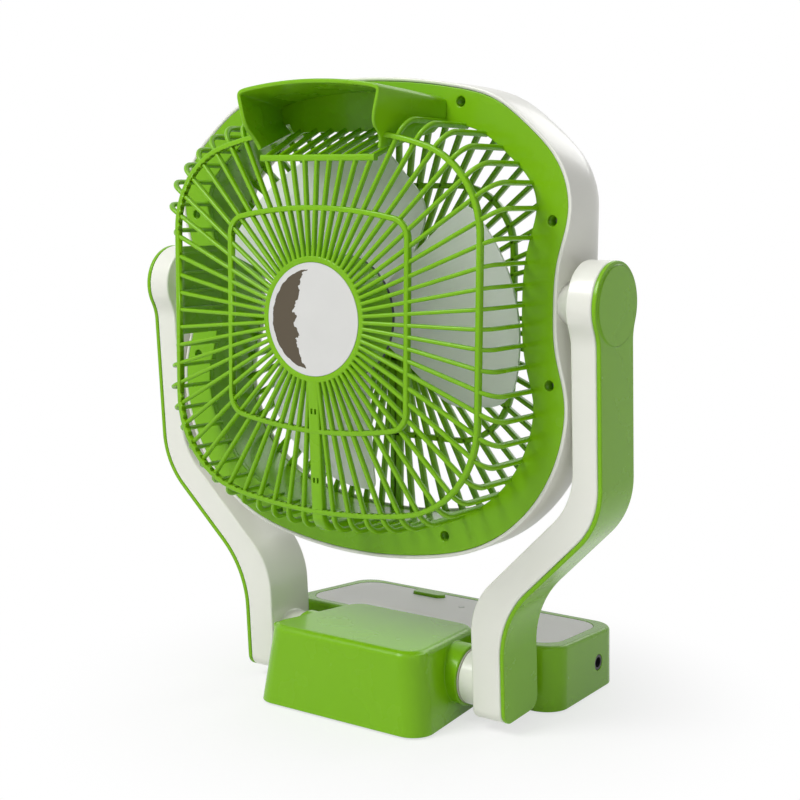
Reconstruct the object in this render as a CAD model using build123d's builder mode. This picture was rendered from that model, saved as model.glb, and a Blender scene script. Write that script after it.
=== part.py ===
from build123d import *
import os
from math import acos, cos, degrees, radians, sin, tan

# Rechargeable desk fan in millimetres: a waisted square head tilts between two S-shaped arms,
# which swing on a battery base. X runs across, the air leaves towards -Y and Z is up.
# The origin lies on the desk, below the middle of the fan.
os.makedirs("parts", exist_ok=True)

# Fits shared by every piece
overrun = 1.0  # a cut runs this far past the face that it opens
slip = 0.2  # play between mouldings that slot together
running = 0.05  # radial play of a shaft in its bore
touch = 0.1  # air between flat faces that turn on each other

# Base: a tapered battery block behind and a wider control deck in front
base_wall = 2.5
foot_stand = 1.0  # the feet hold the base this far off the desk
deck_front_y = -88.0
deck_depth = 78.0
deck_half_rear = 93.0
deck_half_front = 90.0
deck_lean = 0.6  # the walls lean in by this over their height
deck_height = 37.6  # at the rear edge
deck_fall = 2.9  # degrees, towards the front
deck_corner = 14.0
deck_edge = 2.5
block_depth = 75.0
block_half_rear = 57.0
block_half_front = 47.5
block_lean = 6.0
block_setback = 3.5  # the rear wall leans in by this
block_height = 45.0
block_fall = 2.0
block_corner = 12.0
block_edge = 4.0
cable_pass_half = 30.0  # opening between the two chambers
cable_pass_z = 28.0

# Bottom cover, its feet and its screws
plate_thick = 3.0
plate_gap = 0.7
pad_radius = 6.0
pad_recess = 0.6
pad_inset = 16.0
cover_post_radius = 4.0
cover_screw_radius = 1.5
cover_head_radius = 2.8
cover_head_depth = 1.6
cover_screw_length = 12.0

# Control deck: panel, buttons, board, lamp and charging socket
rim_width = 7.5
panel_recess = 1.4
panel_thick = 1.3
button_x = 32.0
button_inset = 15.5  # from the front edge of the deck to the middle of a button
button_length = 22.0
button_width = 8.0
button_proud = 1.6
button_travel = 1.2
button_flange = 2.0
button_flange_thick = 1.5
board_length = 120.0
board_width = 34.0
board_thick = 1.6
board_depth = 13.0  # from the deck's crown to the board
board_post_radius = 3.0
switch_size = 9.0
switch_air = 0.3  # left between a pressed button and its switch
indicator_radius = 1.6
indicator_setback = 13.0  # behind the line of the buttons
lamp_half_length = 55.0
lamp_height = 14.0
lamp_z = 17.0
lamp_thick = 1.5
lamp_lip = 2.5
led_count = 10
led_size = 3.5
led_thick = 1.2
led_air = 3.0
jack_y = -63.0
jack_z = 17.0
jack_nose_radius = 4.4
jack_bore_radius = 2.9
jack_bore_depth = 9.0
jack_body = 11.0
jack_length = 11.0

# Batteries
cell_width = 31.0
cell_depth = 58.0
cell_height = 27.0
cell_gap = 1.0
cell_edge = 1.5

# Swing hinge between the base and the arms
swing_y = 17.0
swing_z = 24.0
collar_radius = 16.5
collar_end = 56.5
collar_inner = 42.0
hub_radius = 15.0
hub_length = 11.0
swing_bolt_radius = 5.0
swing_head_radius = 9.0
swing_head_thick = 5.0
swing_washer_thick = 0.6
swing_nut_radius = 8.5
swing_nut_thick = 5.0
swing_tail = 2.0

# Arms: seen from behind, each face is upright, slants in and is upright again
arm_lean = 4.1  # degrees, back from upright about the swing axis
arm_slant = 45.0
arm_sole_z = 7.0
arm_depth = 34.0
arm_foot_round = 7.0
arm_neck_round = 22.0
arm_disc_radius = 21.6
arm_head_gap = 2.2  # air between an arm and the widest part of the head
arm_top_thick = 13.9  # of the white shell beside the head
arm_foot_thick = 17.4  # of the white shell beside the base
arm_inner_knee = 132.2
arm_inner_top_bend = 38.0
arm_inner_foot_bend = 40.0
arm_seam_knee = 123.5
arm_seam_top_bend = 41.0
arm_seam_foot_bend = 55.0
arm_cover_thick = 2.4
arm_badge_radius = 19.6
arm_badge_thick = 0.7

# Tilt pivot between the arms and the head
tilt_z = 227.0
tilt_bolt_radius = 4.0
tilt_head_radius = 8.0
tilt_head_thick = 4.0
tilt_pocket_floor = 5.5
tilt_washer_thick = 0.6
tilt_boss_radius = 11.0
tilt_bolt_reach = 20.0

# Head: waisted square outline, the same for the housing and the rear flange; its heights
# are counted from the fan's axis
axis_drop = 11.0  # the fan's axis lies this far below the tilt axis
lobe_half = 124.4
waist_half = 116.3
lobe_upper_rise = 56.5
lobe_lower_drop = 38.0
corner_upper = 42.0
corner_flat = 25.0  # straight between the upper corner and the shoulder
corner_turn = 50.5  # degrees from the side to that straight
shoulder_round = 38.0
corner_lower = 84.0
lobe_round = 30.0
waist_round = 52.0
crown_slope = 12.0  # degrees at the ends of the crown
sill_slope = 14.0
head_rear_y = 43.0
head_depth = 40.0
housing_wall = 1.8
housing_round = 10.0
front_wall = 2.5
flange_width = 17.4
flange_thick = 3.0
duct_wall = 2.0

# Screws that hold the rear flange, counted from the corners of the outline
side_screw_inset = 9.4
side_screw_drop = 5.6
side_screw_rise = 9.4
crown_screw_inset = 11.5
crown_screw_drop = 4.2
sill_screw_inset = 5.4
sill_screw_rise = 8.3
screw_tube_radius = 4.4
screw_tube_depth = 12.0
screw_well_radius = 2.6
screw_well_depth = 9.5
screw_radius = 1.4
screw_hole_radius = 1.7
screw_head_radius = 2.4
screw_head_thick = 1.8
screw_length = 14.0

# Rear cage: ribs run back from the flange, bend and meet at the motor cup
rib_count = 64
rib_width = 2.1
rib_depth = 3.4
rib_bend = 8.5
rib_root = 1.6  # how far a rib stands on the flange
cage_y = 82.5  # rear face at the motor cup
cage_dome = 0.055  # fall of the ribs for each millimetre outwards
cup_radius = 32.1
cup_depth = 25.0
cup_wall = 2.0
label_radius = 29.0
label_recess = 0.6
label_thick = 0.5
ring_width = 2.8
ring_depth = 3.6
outer_ring_half = 96.3
outer_ring_ends = ((95.4, 45.0, 16.0), (99.5, 50.0, 10.0))  # reach, corner and slope, above and below
inner_ring_half = 56.5
inner_ring_ends = ((56.0, 10.0, 11.0), (57.3, 10.0, 11.0))
channel_width = 7.0
channel_depth = 4.4
channel_slot = 1.3
channel_slot_length = 2.8
channel_slot_spread = 2.4
channel_slot_inner = 47.0
channel_slot_outer = 83.0
web_drop = 14.0
web_rise = 34.0
web_thick = 1.6

# Carry handle: a hood over the top ribs, with its half widths and its heights above the axis
# at the root, on the flange, and at the mouth
handle_y = 88.0
hood_wall = 2.2
root_half = 54.0
root_floor_half = 46.5
root_crown_rise = 117.0
root_shoulder_rise = 110.5
root_side_rise = 100.0
root_floor_rise = 93.5
mouth_half = 45.8
mouth_side_half = 40.0
mouth_floor_half = 36.5
mouth_crown_rise = 119.0
mouth_shoulder_rise = 115.0
mouth_side_rise = 93.0
mouth_floor_rise = 82.0
mouth_setback = 10.5  # of the sides' lower ends
mouth_notch_rise = 98.0  # where the sides begin to run forward
mouth_notch_depth = 8.5
mouth_notch_low_rise = 88.5
chord_rise = 82.5
chord_depth = 3.4
rail_rise = 95.0
rail_half = 46.0
handle_rib_half_angle = 23.0
handle_rib_bend = 4.0

# Front grille
grille_thick = 4.0
grille_rib_width = 2.2
grille_hub_radius = 27.0
grille_ring_half_width = 74.5
grille_ring_half_height = 69.0
grille_ring_corner = 34.0
grille_ring_width = 3.0
grille_spine_width = 7.0

# Motor and fan
motor_plate_thick = 2.0
motor_radius = 18.0
motor_length = 20.0
plate_screw_radius = 1.2
plate_screw_head = 2.4
plate_screw_head_thick = 1.2
plate_screw_length = 8.0
plate_post_radius = 3.0
shaft_radius = 2.0
bush_radius = 4.0
bush_length = 4.0
fan_y = 33.0
fan_hub_radius = 15.0
fan_hub_depth = 16.0
fan_hub_edge = 3.0
blade_count = 3
blade_first_angle = 60.0
blade_radius = 92.0
blade_thick = 1.6
blade_slab_width = 180.0
blade_root_radius = 14.0
blade_lead_angle = -40.0  # edges of the blade on both sides of its middle
blade_lead_root_angle = -50.0
blade_trail_angle = 22.0
blade_trail_radius = 62.0
blade_trail_low_angle = 53.0
blade_trail_root_angle = 85.0
blade_lead_round = 5.0
blade_trail_round = 24.0
blade_root_pitch = 30.0
blade_tip_pitch = 11.0
spinner_radius = 5.0
spinner_depth = 5.0

# Places that follow from the sizes above
deck_rear_y = deck_front_y + deck_depth
block_rear_y = deck_rear_y + block_depth
deck_slope = tan(radians(deck_fall))
deck_crown = Plane((0, deck_rear_y, deck_height), x_dir=(1, 0, 0), z_dir=(0, -deck_slope, 1))
button_local_y = -(deck_depth - button_inset)
plate_top = foot_stand + plate_thick
flange_front_y = head_rear_y - flange_thick
head_front_y = head_rear_y - head_depth
grille_rear_y = head_front_y + front_wall + grille_thick
cup_front_y = cage_y - cup_depth
motor_front_y = cup_front_y
hub_rear_y = fan_y + fan_hub_depth / 2
hub_front_y = fan_y - fan_hub_depth / 2
axis_z = tilt_z - axis_drop
lobe_upper_z = axis_z + lobe_upper_rise
lobe_lower_z = axis_z - lobe_lower_drop
chord_z = axis_z + chord_rise
rail_z = axis_z + rail_rise
tilt_y = swing_y + (tilt_z - swing_z) * tan(radians(arm_lean))
arm_disc_z = swing_z + (tilt_z - swing_z) / cos(radians(arm_lean))  # while the arm is upright
arm_inner_top = lobe_half + slip + housing_wall + arm_head_gap
arm_inner_foot = collar_end + hub_length
arm_seam_top = arm_inner_top + arm_top_thick
arm_seam_foot = arm_inner_foot + arm_foot_thick
boss_end = arm_inner_top - tilt_washer_thick - touch
arm_front_y = swing_y - arm_depth / 2
arm_rear_y = swing_y + arm_depth / 2


def facing_rear(y):
    """Plane across the head at a given depth; its own axes are X and Z."""
    return Plane.XZ.offset(-y)


def save(part, name):
    """Label a finished piece and write it."""
    part.label = name
    export_step(part, f"parts/{name}.step")


def both_sides(part, name):
    """Write a piece for the fan's left and its mirror image for the right."""
    save(part, f"left_{name}")
    save(mirror(part, about=Plane.YZ), f"right_{name}")


# Base shell
def base_block(rear_y, depth, halves, leans, height, fall, corner, edge, inset):
    """Block whose walls lean in from its foot to a crown that falls towards the front."""
    rear_half, front_half = (half - inset for half in halves)
    side_lean, rear_lean, front_lean = leans
    slope = tan(radians(fall))
    crown = Plane((0, rear_y, height - inset), x_dir=(1, 0, 0), z_dir=(0, -slope, 1))
    with BuildPart() as block:
        with BuildSketch(Plane.XY.offset(foot_stand)):
            with BuildLine():
                back, front = rear_y - inset, rear_y - depth + inset
                Polyline(
                    (rear_half, back), (-rear_half, back),
                    (-front_half, front), (front_half, front), close=True,
                )
            make_face()
            fillet(vertices(), corner - inset)
        with BuildSketch(crown):
            with BuildLine():
                back, front = -rear_lean - inset, front_lean + inset - depth
                rear_top, front_top = rear_half - side_lean, front_half - side_lean
                Polyline(
                    (rear_top, back), (-rear_top, back),
                    (-front_top, front), (front_top, front), close=True,
                )
            make_face()
            fillet(vertices(), corner - inset)
        loft()
        if edge:
            fillet(faces().sort_by(Axis.Z)[-1].edges(), edge)
    return block.part


def deck_block(edge, inset):
    """Control deck, or its chamber when it is inset by the wall."""
    return base_block(
        deck_rear_y, deck_depth, (deck_half_rear, deck_half_front),
        (deck_lean, deck_lean, deck_lean), deck_height, deck_fall, deck_corner, edge, inset,
    )


def battery_block(edge, inset):
    """Battery block, or its chamber when it is inset by the wall; it ends in the deck's rear wall."""
    return base_block(
        block_rear_y, block_depth + base_wall, (block_half_rear, block_half_front),
        (block_lean, block_setback, 0), block_height, block_fall, block_corner, edge, inset,
    )


cover_post_inset = 3 * cover_post_radius
deck_post_x = deck_half_front - cover_post_inset
block_post_x = block_half_rear - block_lean / 2 - 2 * cover_post_radius
cover_post_places = [
    (side * x, y)
    for side in (-1, 1)
    for x, y in (
        (block_post_x, block_rear_y - cover_post_inset),
        (deck_post_x, deck_rear_y - cover_post_inset),
        (deck_post_x - cover_post_radius, deck_front_y + cover_post_inset + cover_post_radius),
    )
]
lamp_window_y = deck_front_y + base_wall + deck_lean
led_board_y = lamp_window_y + slip + lamp_thick + led_air
board_front = led_board_y + board_thick + overrun - deck_rear_y
board_local_y = board_front + board_width / 2
board_post_x = board_length / 2 - 2 * board_post_radius
board_post_step = board_width / 2 - 2 * board_post_radius
board_post_places = [
    (side * board_post_x, board_local_y + step * board_post_step) for side in (-1, 1) for step in (-1, 1)
]


def ceiling(y):
    """Height inside the roof above a post, in the battery block or in the deck."""
    if y > deck_rear_y:
        return block_height + (y - block_rear_y) * tan(radians(block_fall)) - base_wall / 2
    return deck_height + (y - deck_rear_y) * deck_slope - base_wall + (base_wall - panel_recess) / 2


with BuildPart() as base_shell:
    add(battery_block(block_edge, 0))
    add(deck_block(deck_edge, 0))
    add(battery_block(0, base_wall), mode=Mode.SUBTRACT)
    add(deck_block(0, base_wall), mode=Mode.SUBTRACT)
    # Opening for the wires between the two chambers
    with BuildSketch(Plane.XZ.offset(-deck_rear_y - base_wall - overrun)):
        with Locations((0, (foot_stand + cable_pass_z) / 2)):
            Rectangle(2 * cable_pass_half, cable_pass_z - foot_stand)
    extrude(amount=2 * (base_wall + overrun), mode=Mode.SUBTRACT)
    # Recess for the control panel, with its button slots
    with BuildSketch(deck_crown) as panel_outline:
        with BuildLine():
            Polyline(
                (deck_half_rear - rim_width, -rim_width),
                (rim_width - deck_half_rear, -rim_width),
                (rim_width - deck_half_front, rim_width - deck_depth),
                (deck_half_front - rim_width, rim_width - deck_depth), close=True,
            )
        make_face()
        fillet(vertices(), deck_corner)
    extrude(amount=-panel_recess, mode=Mode.SUBTRACT)
    with BuildSketch(deck_crown) as button_slots:
        with Locations((-button_x, button_local_y), (button_x, button_local_y)):
            SlotOverall(button_length + 2 * slip, button_width + 2 * slip)
        with Locations((0, button_local_y + indicator_setback)):
            Circle(indicator_radius + slip)
    extrude(amount=-base_wall - overrun, mode=Mode.SUBTRACT)
    # Posts for the board and for the bottom cover's screws
    with BuildSketch(deck_crown.offset(-base_wall / 2 - panel_recess / 2)):
        with Locations(*board_post_places):
            Circle(board_post_radius)
    extrude(amount=-(board_depth - base_wall / 2 - panel_recess / 2))
    for place in cover_post_places:
        with BuildSketch(Plane.XY.offset(plate_top)):
            with Locations(place):
                Circle(cover_post_radius)
        extrude(amount=ceiling(place[1]) - plate_top)
    with BuildSketch(Plane.XY.offset(plate_top)):
        with Locations(*cover_post_places):
            Circle(cover_screw_radius + running)
    extrude(amount=cover_screw_length, mode=Mode.SUBTRACT)
    # Collars that carry the arms, and the bores of their bolts
    with BuildSketch(Plane.YZ.offset(collar_inner)):
        with Locations((swing_y, swing_z)):
            Circle(collar_radius)
    extrude(amount=collar_end - collar_inner)
    with BuildSketch(Plane.YZ.offset(-collar_inner)):
        with Locations((swing_y, swing_z)):
            Circle(collar_radius)
    extrude(amount=collar_inner - collar_end)
    with BuildSketch(Plane.YZ):
        with Locations((swing_y, swing_z)):
            Circle(swing_bolt_radius + running)
    extrude(amount=collar_end + overrun, both=True, mode=Mode.SUBTRACT)
    # Lamp window in the front wall and the hole for the charging socket
    with BuildSketch(facing_rear(deck_front_y + base_wall + deck_lean + overrun)):
        with Locations((0, lamp_z)):
            SlotOverall(2 * (lamp_half_length + slip), lamp_height + 2 * slip)
    extrude(amount=base_wall + deck_lean + 2 * overrun, mode=Mode.SUBTRACT)
    with BuildSketch(Plane.YZ.offset(-deck_half_rear)):
        with Locations((jack_y, jack_z)):
            Circle(jack_nose_radius + slip)
    extrude(amount=deck_half_rear - deck_half_front + 2 * base_wall, mode=Mode.SUBTRACT)
save(base_shell.part, "base_shell")

# Bottom cover with pockets for its feet and screw heads
pad_places = [
    (block_half_rear - 2 * pad_inset, block_rear_y - pad_inset),
    (2 * pad_inset - block_half_rear, block_rear_y - pad_inset),
    (deck_half_front - pad_inset, deck_front_y + 2 * pad_inset),
    (pad_inset - deck_half_front, deck_front_y + 2 * pad_inset),
]
with BuildPart() as base_plate:
    with BuildSketch(Plane.XY.offset(foot_stand)):
        block_gap = base_wall + plate_gap
        with BuildLine():
            rear_half, front_half = block_half_rear - block_gap, block_half_front - block_gap
            Polyline(
                (rear_half, block_rear_y - block_gap), (-rear_half, block_rear_y - block_gap),
                (-front_half, deck_rear_y + plate_gap), (front_half, deck_rear_y + plate_gap),
                close=True,
            )
        make_face()
        fillet(vertices(), block_corner - block_gap)
    extrude(amount=plate_thick)
    with BuildSketch(Plane.XY.offset(foot_stand)):
        with BuildLine():
            rear_half, front_half = deck_half_rear - block_gap, deck_half_front - block_gap
            Polyline(
                (rear_half, deck_rear_y - block_gap), (-rear_half, deck_rear_y - block_gap),
                (-front_half, deck_front_y + block_gap), (front_half, deck_front_y + block_gap),
                close=True,
            )
        make_face()
        fillet(vertices(), deck_corner - block_gap)
    extrude(amount=plate_thick)
    with BuildSketch(Plane.XY.offset(foot_stand)):
        with Locations((0, deck_rear_y - base_wall / 2)):
            Rectangle(2 * (cable_pass_half - plate_gap), block_gap + 2 * overrun)
    extrude(amount=plate_thick)
    with BuildSketch(Plane.XY.offset(foot_stand)):
        with Locations(*pad_places):
            Circle(pad_radius + running)
    extrude(amount=pad_recess, mode=Mode.SUBTRACT)
    with BuildSketch(Plane.XY.offset(foot_stand)):
        with Locations(*cover_post_places):
            Circle(cover_head_radius + running)
    extrude(amount=cover_head_depth, mode=Mode.SUBTRACT)
    with BuildSketch(Plane.XY.offset(foot_stand)):
        with Locations(*cover_post_places):
            Circle(cover_screw_radius + running)
    extrude(amount=plate_thick, mode=Mode.SUBTRACT)
save(base_plate.part, "base_plate")

with BuildPart() as base_feet:
    with BuildSketch():
        with Locations(*pad_places):
            Circle(pad_radius)
    extrude(amount=foot_stand + pad_recess)
save(base_feet.part, "base_feet")

with BuildPart() as base_screws:
    with BuildSketch(Plane.XY.offset(foot_stand)):
        with Locations(*cover_post_places):
            Circle(cover_head_radius)
    extrude(amount=cover_head_depth)
    with BuildSketch(Plane.XY.offset(foot_stand)):
        with Locations(*cover_post_places):
            Circle(cover_screw_radius)
    extrude(amount=cover_screw_length)
save(base_screws.part, "base_screws")

# Control panel, flush in its recess
with BuildPart() as control_panel:
    with BuildSketch(deck_crown.offset(-panel_recess)):
        add(panel_outline.sketch_local)
        offset(amount=-slip)
        add(button_slots.sketch_local, mode=Mode.SUBTRACT)
    extrude(amount=panel_thick)
save(control_panel.part, "control_panel")

with BuildPart() as indicator_lens:
    with BuildSketch(deck_crown.offset(-base_wall)):
        with Locations((0, button_local_y + indicator_setback)):
            Circle(indicator_radius)
    extrude(amount=base_wall)
save(indicator_lens.part, "indicator_lens")


# Push buttons: the flange rests against the underside of the deck
def push_button(x):
    """Pill-shaped button in its slot, held from below by its own flange."""
    with BuildPart() as button:
        with BuildSketch(deck_crown.offset(-base_wall)):
            with Locations((x, button_local_y)):
                SlotOverall(button_length + 2 * button_flange, button_width + 2 * button_flange)
        extrude(amount=-button_flange_thick)
        with BuildSketch(deck_crown.offset(-base_wall)):
            with Locations((x, button_local_y)):
                SlotOverall(button_length, button_width)
        extrude(amount=base_wall + button_proud)
        crown_edges = faces().sort_by(Axis.Z)[-1].edges()
        fillet(crown_edges, button_proud / 2)
    return button.part


save(push_button(button_x), "fan_button")
save(push_button(-button_x), "light_button")

with BuildPart() as circuit_board:
    with BuildSketch(deck_crown.offset(-board_depth)):
        with Locations((0, board_local_y)):
            Rectangle(board_length, board_width)
    extrude(amount=-board_thick)
save(circuit_board.part, "circuit_board")

switch_top = base_wall + button_flange_thick + button_travel + switch_air
with BuildPart() as button_switches:
    with BuildSketch(deck_crown.offset(-board_depth)):
        with Locations((-button_x, button_local_y), (button_x, button_local_y)):
            Rectangle(switch_size, switch_size)
    extrude(amount=(board_depth - switch_top) / 2)
    with BuildSketch(deck_crown.offset(-board_depth)):
        with Locations((-button_x, button_local_y), (button_x, button_local_y)):
            Circle(switch_size / 4)
    extrude(amount=board_depth - switch_top)
save(button_switches.part, "button_switches")

# Lamp: window lens, board and light-emitting diodes
with BuildPart() as lamp_lens:
    with BuildSketch(facing_rear(lamp_window_y + slip)):
        with Locations((0, lamp_z)):
            SlotOverall(2 * lamp_half_length, lamp_height)
    extrude(amount=base_wall + slip)
    with BuildSketch(facing_rear(lamp_window_y + slip)):
        with Locations((0, lamp_z)):
            SlotOverall(2 * (lamp_half_length + lamp_lip), lamp_height + 2 * lamp_lip)
    extrude(amount=-lamp_thick)
save(lamp_lens.part, "lamp_lens")

led_board_top = lamp_z + lamp_height / 2
with BuildPart() as led_board:
    with BuildSketch(facing_rear(led_board_y)):
        with Locations((0, (plate_top + led_board_top) / 2)):
            Rectangle(2 * lamp_half_length, led_board_top - plate_top)
    extrude(amount=-board_thick)
save(led_board.part, "led_board")

with BuildPart() as lamp_leds:
    with BuildSketch(facing_rear(led_board_y)):
        with Locations((0, lamp_z)):
            with GridLocations(2 * lamp_half_length / led_count, 0, led_count, 1):
                Rectangle(led_size, led_size)
    extrude(amount=led_thick)
save(lamp_leds.part, "lamp_leds")

# Charging socket, its nose in the side wall
jack_wall_share = (jack_y - deck_front_y) / deck_depth
jack_wall_x = deck_half_front + (deck_half_rear - deck_half_front) * jack_wall_share
jack_face_x = -jack_wall_x + deck_lean
jack_slant = jack_body * (deck_half_rear - deck_half_front) / deck_depth
jack_shoulder_x = jack_face_x + base_wall + deck_lean + jack_slant
with BuildPart() as dc_jack:
    with BuildSketch(Plane.YZ.offset(jack_shoulder_x)):
        with Locations((jack_y, jack_z)):
            Rectangle(jack_body, jack_body)
    extrude(amount=jack_length)
    with BuildSketch(Plane.YZ.offset(jack_face_x)):
        with Locations((jack_y, jack_z)):
            Circle(jack_nose_radius)
    extrude(amount=jack_shoulder_x - jack_face_x)
    with BuildSketch(Plane.YZ.offset(jack_face_x)):
        with Locations((jack_y, jack_z)):
            Circle(jack_bore_radius)
    extrude(amount=jack_bore_depth, mode=Mode.SUBTRACT)
    # The foot of the socket stands on the bottom cover
    with BuildSketch(Plane.XY.offset(plate_top)):
        with Locations((jack_shoulder_x + jack_length / 2, jack_y)):
            Rectangle(jack_length, jack_body)
    extrude(amount=jack_z - jack_body / 2 - plate_top)
save(dc_jack.part, "dc_jack")

# Batteries, side by side on the bottom cover
cell_middle_y = (block_rear_y + deck_rear_y) / 2
for name, side in (("battery_left", 1), ("battery_right", -1)):
    with BuildPart() as battery:
        with BuildSketch(Plane.XY.offset(plate_top)):
            with Locations((side * (cell_width + cell_gap) / 2, cell_middle_y)):
                Rectangle(cell_width, cell_depth)
        extrude(amount=cell_height)
        fillet(edges().filter_by(Axis.Z), cell_edge)
    save(battery.part, name)


# Arms
def arm_face(top, foot, knee, bends):
    """One face of an arm seen from behind, from the crown down to the sole."""
    low_knee = knee - (top - foot) / tan(radians(arm_slant))
    top_z = arm_disc_z + arm_disc_radius + overrun
    return FilletPolyline(
        (top, top_z), (top, knee), (foot, low_knee), (foot, arm_sole_z), radius=bends
    )


def arm_band(inside, outside):
    """Closed outline between two faces of an arm."""
    with BuildSketch(Plane.XZ) as band:
        with BuildLine():
            inner_path = arm_face(*inside)
            outer_path = arm_face(*outside)
            Line(inner_path @ 0, outer_path @ 0)
            Line(inner_path @ 1, outer_path @ 1)
        make_face()
    return band.sketch


with BuildSketch(Plane.YZ) as arm_side:
    with BuildLine():
        Polyline(
            (arm_front_y, arm_sole_z), (arm_rear_y, arm_sole_z), (arm_rear_y, arm_disc_z),
            (arm_front_y, arm_disc_z), close=True,
        )
    make_face()
    with Locations((swing_y, arm_disc_z)):
        Circle(arm_disc_radius)
    fillet(vertices().sort_by(Axis.Y)[2:4], arm_neck_round)
    fillet(vertices().group_by(Axis.Y)[0], arm_foot_round)

inner_face = (arm_inner_top, arm_inner_foot, arm_inner_knee, (arm_inner_top_bend, arm_inner_foot_bend))


def seam_face(gap):
    """The face between shell and cover, moved outwards by a gap."""
    knee = arm_seam_knee - gap * tan(radians(arm_slant / 2))
    return (
        arm_seam_top + gap, arm_seam_foot + gap, knee,
        (arm_seam_top_bend + gap, arm_seam_foot_bend - gap),
    )


swing_axis = Axis((0, swing_y, swing_z), (1, 0, 0))
swing_pocket_x = arm_seam_foot - swing_head_thick - touch
tilt_pocket_x = arm_inner_top + tilt_pocket_floor
with BuildPart() as arm_shell:
    extrude(arm_band(inner_face, seam_face(0)), amount=arm_depth * 2, both=True)
    extrude(arm_side.sketch, amount=arm_seam_top + overrun, mode=Mode.INTERSECT)
    # Hub that faces the base
    hub_start = collar_end + swing_washer_thick + 2 * touch
    with BuildSketch(Plane.YZ.offset(hub_start)):
        with Locations((swing_y, swing_z)):
            Circle(hub_radius)
    extrude(amount=arm_inner_foot - hub_start)
    # Pockets and bores for the swing and tilt bolts
    with BuildSketch(Plane.YZ.offset(swing_pocket_x)):
        with Locations((swing_y, swing_z)):
            Circle(swing_head_radius + slip)
    extrude(amount=swing_head_thick + overrun, mode=Mode.SUBTRACT)
    with BuildSketch(Plane.YZ.offset(hub_start)):
        with Locations((swing_y, swing_z)):
            Circle(swing_bolt_radius + running)
    extrude(amount=swing_pocket_x - hub_start, mode=Mode.SUBTRACT)
    with BuildSketch(Plane.YZ.offset(tilt_pocket_x)):
        with Locations((swing_y, arm_disc_z)):
            Circle(tilt_head_radius + slip)
    extrude(amount=arm_seam_top - tilt_pocket_x + overrun, mode=Mode.SUBTRACT)
    with BuildSketch(Plane.YZ.offset(arm_inner_top - overrun)):
        with Locations((swing_y, arm_disc_z)):
            Circle(tilt_bolt_radius + running)
    extrude(amount=tilt_pocket_floor + 2 * overrun, mode=Mode.SUBTRACT)
both_sides(arm_shell.part.rotate(swing_axis, -arm_lean), "arm_shell")

with BuildPart() as arm_cover:
    extrude(arm_band(seam_face(touch), seam_face(arm_cover_thick)), amount=arm_depth * 2, both=True)
    extrude(arm_side.sketch, amount=arm_seam_top + arm_cover_thick + overrun, mode=Mode.INTERSECT)
    # Round badge over the pivot
    with BuildSketch(Plane.YZ.offset(arm_seam_top + arm_cover_thick)):
        with Locations((swing_y, arm_disc_z)):
            Circle(arm_badge_radius)
    extrude(amount=arm_badge_thick)
both_sides(arm_cover.part.rotate(swing_axis, -arm_lean), "arm_cover")

# Swing hinge: bolt from the arm through the collar, with its nut inside the base
nut_outer_x = collar_inner - 2 * touch - swing_washer_thick
nut_inner_x = nut_outer_x - swing_nut_thick
with BuildPart() as swing_bolt:
    with BuildSketch(Plane.YZ.offset(swing_pocket_x)):
        with Locations((swing_y, swing_z)):
            Circle(swing_head_radius)
    extrude(amount=swing_head_thick)
    with BuildSketch(Plane.YZ.offset(nut_inner_x - swing_tail)):
        with Locations((swing_y, swing_z)):
            Circle(swing_bolt_radius)
    extrude(amount=swing_pocket_x - nut_inner_x + swing_tail)
both_sides(swing_bolt.part, "swing_bolt")

with BuildPart() as swing_nut:
    with BuildSketch(Plane.YZ.offset(nut_inner_x)):
        with Locations((swing_y, swing_z)):
            RegularPolygon(swing_nut_radius, side_count=6)
            Circle(swing_bolt_radius + running, mode=Mode.SUBTRACT)
    extrude(amount=swing_nut_thick)
both_sides(swing_nut.part, "swing_nut")

with BuildPart() as swing_washer:
    with BuildSketch(Plane.YZ.offset(collar_end + touch)):
        with Locations((swing_y, swing_z)):
            Circle(hub_radius)
            Circle(swing_bolt_radius + running, mode=Mode.SUBTRACT)
    extrude(amount=swing_washer_thick)
    with BuildSketch(Plane.YZ.offset(nut_outer_x + touch)):
        with Locations((swing_y, swing_z)):
            Circle(swing_nut_radius)
            Circle(swing_bolt_radius + running, mode=Mode.SUBTRACT)
    extrude(amount=swing_washer_thick)
both_sides(swing_washer.part, "swing_washers")

# Tilt pivot: bolt from the arm into the head's boss
with BuildPart() as tilt_bolt:
    with BuildSketch(Plane.YZ.offset(tilt_pocket_x + touch)):
        with Locations((tilt_y, tilt_z)):
            Circle(tilt_head_radius)
    extrude(amount=tilt_head_thick)
    with BuildSketch(Plane.YZ.offset(boss_end - tilt_bolt_reach)):
        with Locations((tilt_y, tilt_z)):
            Circle(tilt_bolt_radius)
    extrude(amount=tilt_pocket_x + touch - boss_end + tilt_bolt_reach)
both_sides(tilt_bolt.part, "tilt_bolt")

with BuildPart() as tilt_washer:
    with BuildSketch(Plane.YZ.offset(boss_end)):
        with Locations((tilt_y, tilt_z)):
            Circle(tilt_boss_radius)
            Circle(tilt_bolt_radius + running, mode=Mode.SUBTRACT)
    extrude(amount=tilt_washer_thick)
both_sides(tilt_washer.part, "tilt_washer")

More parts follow.
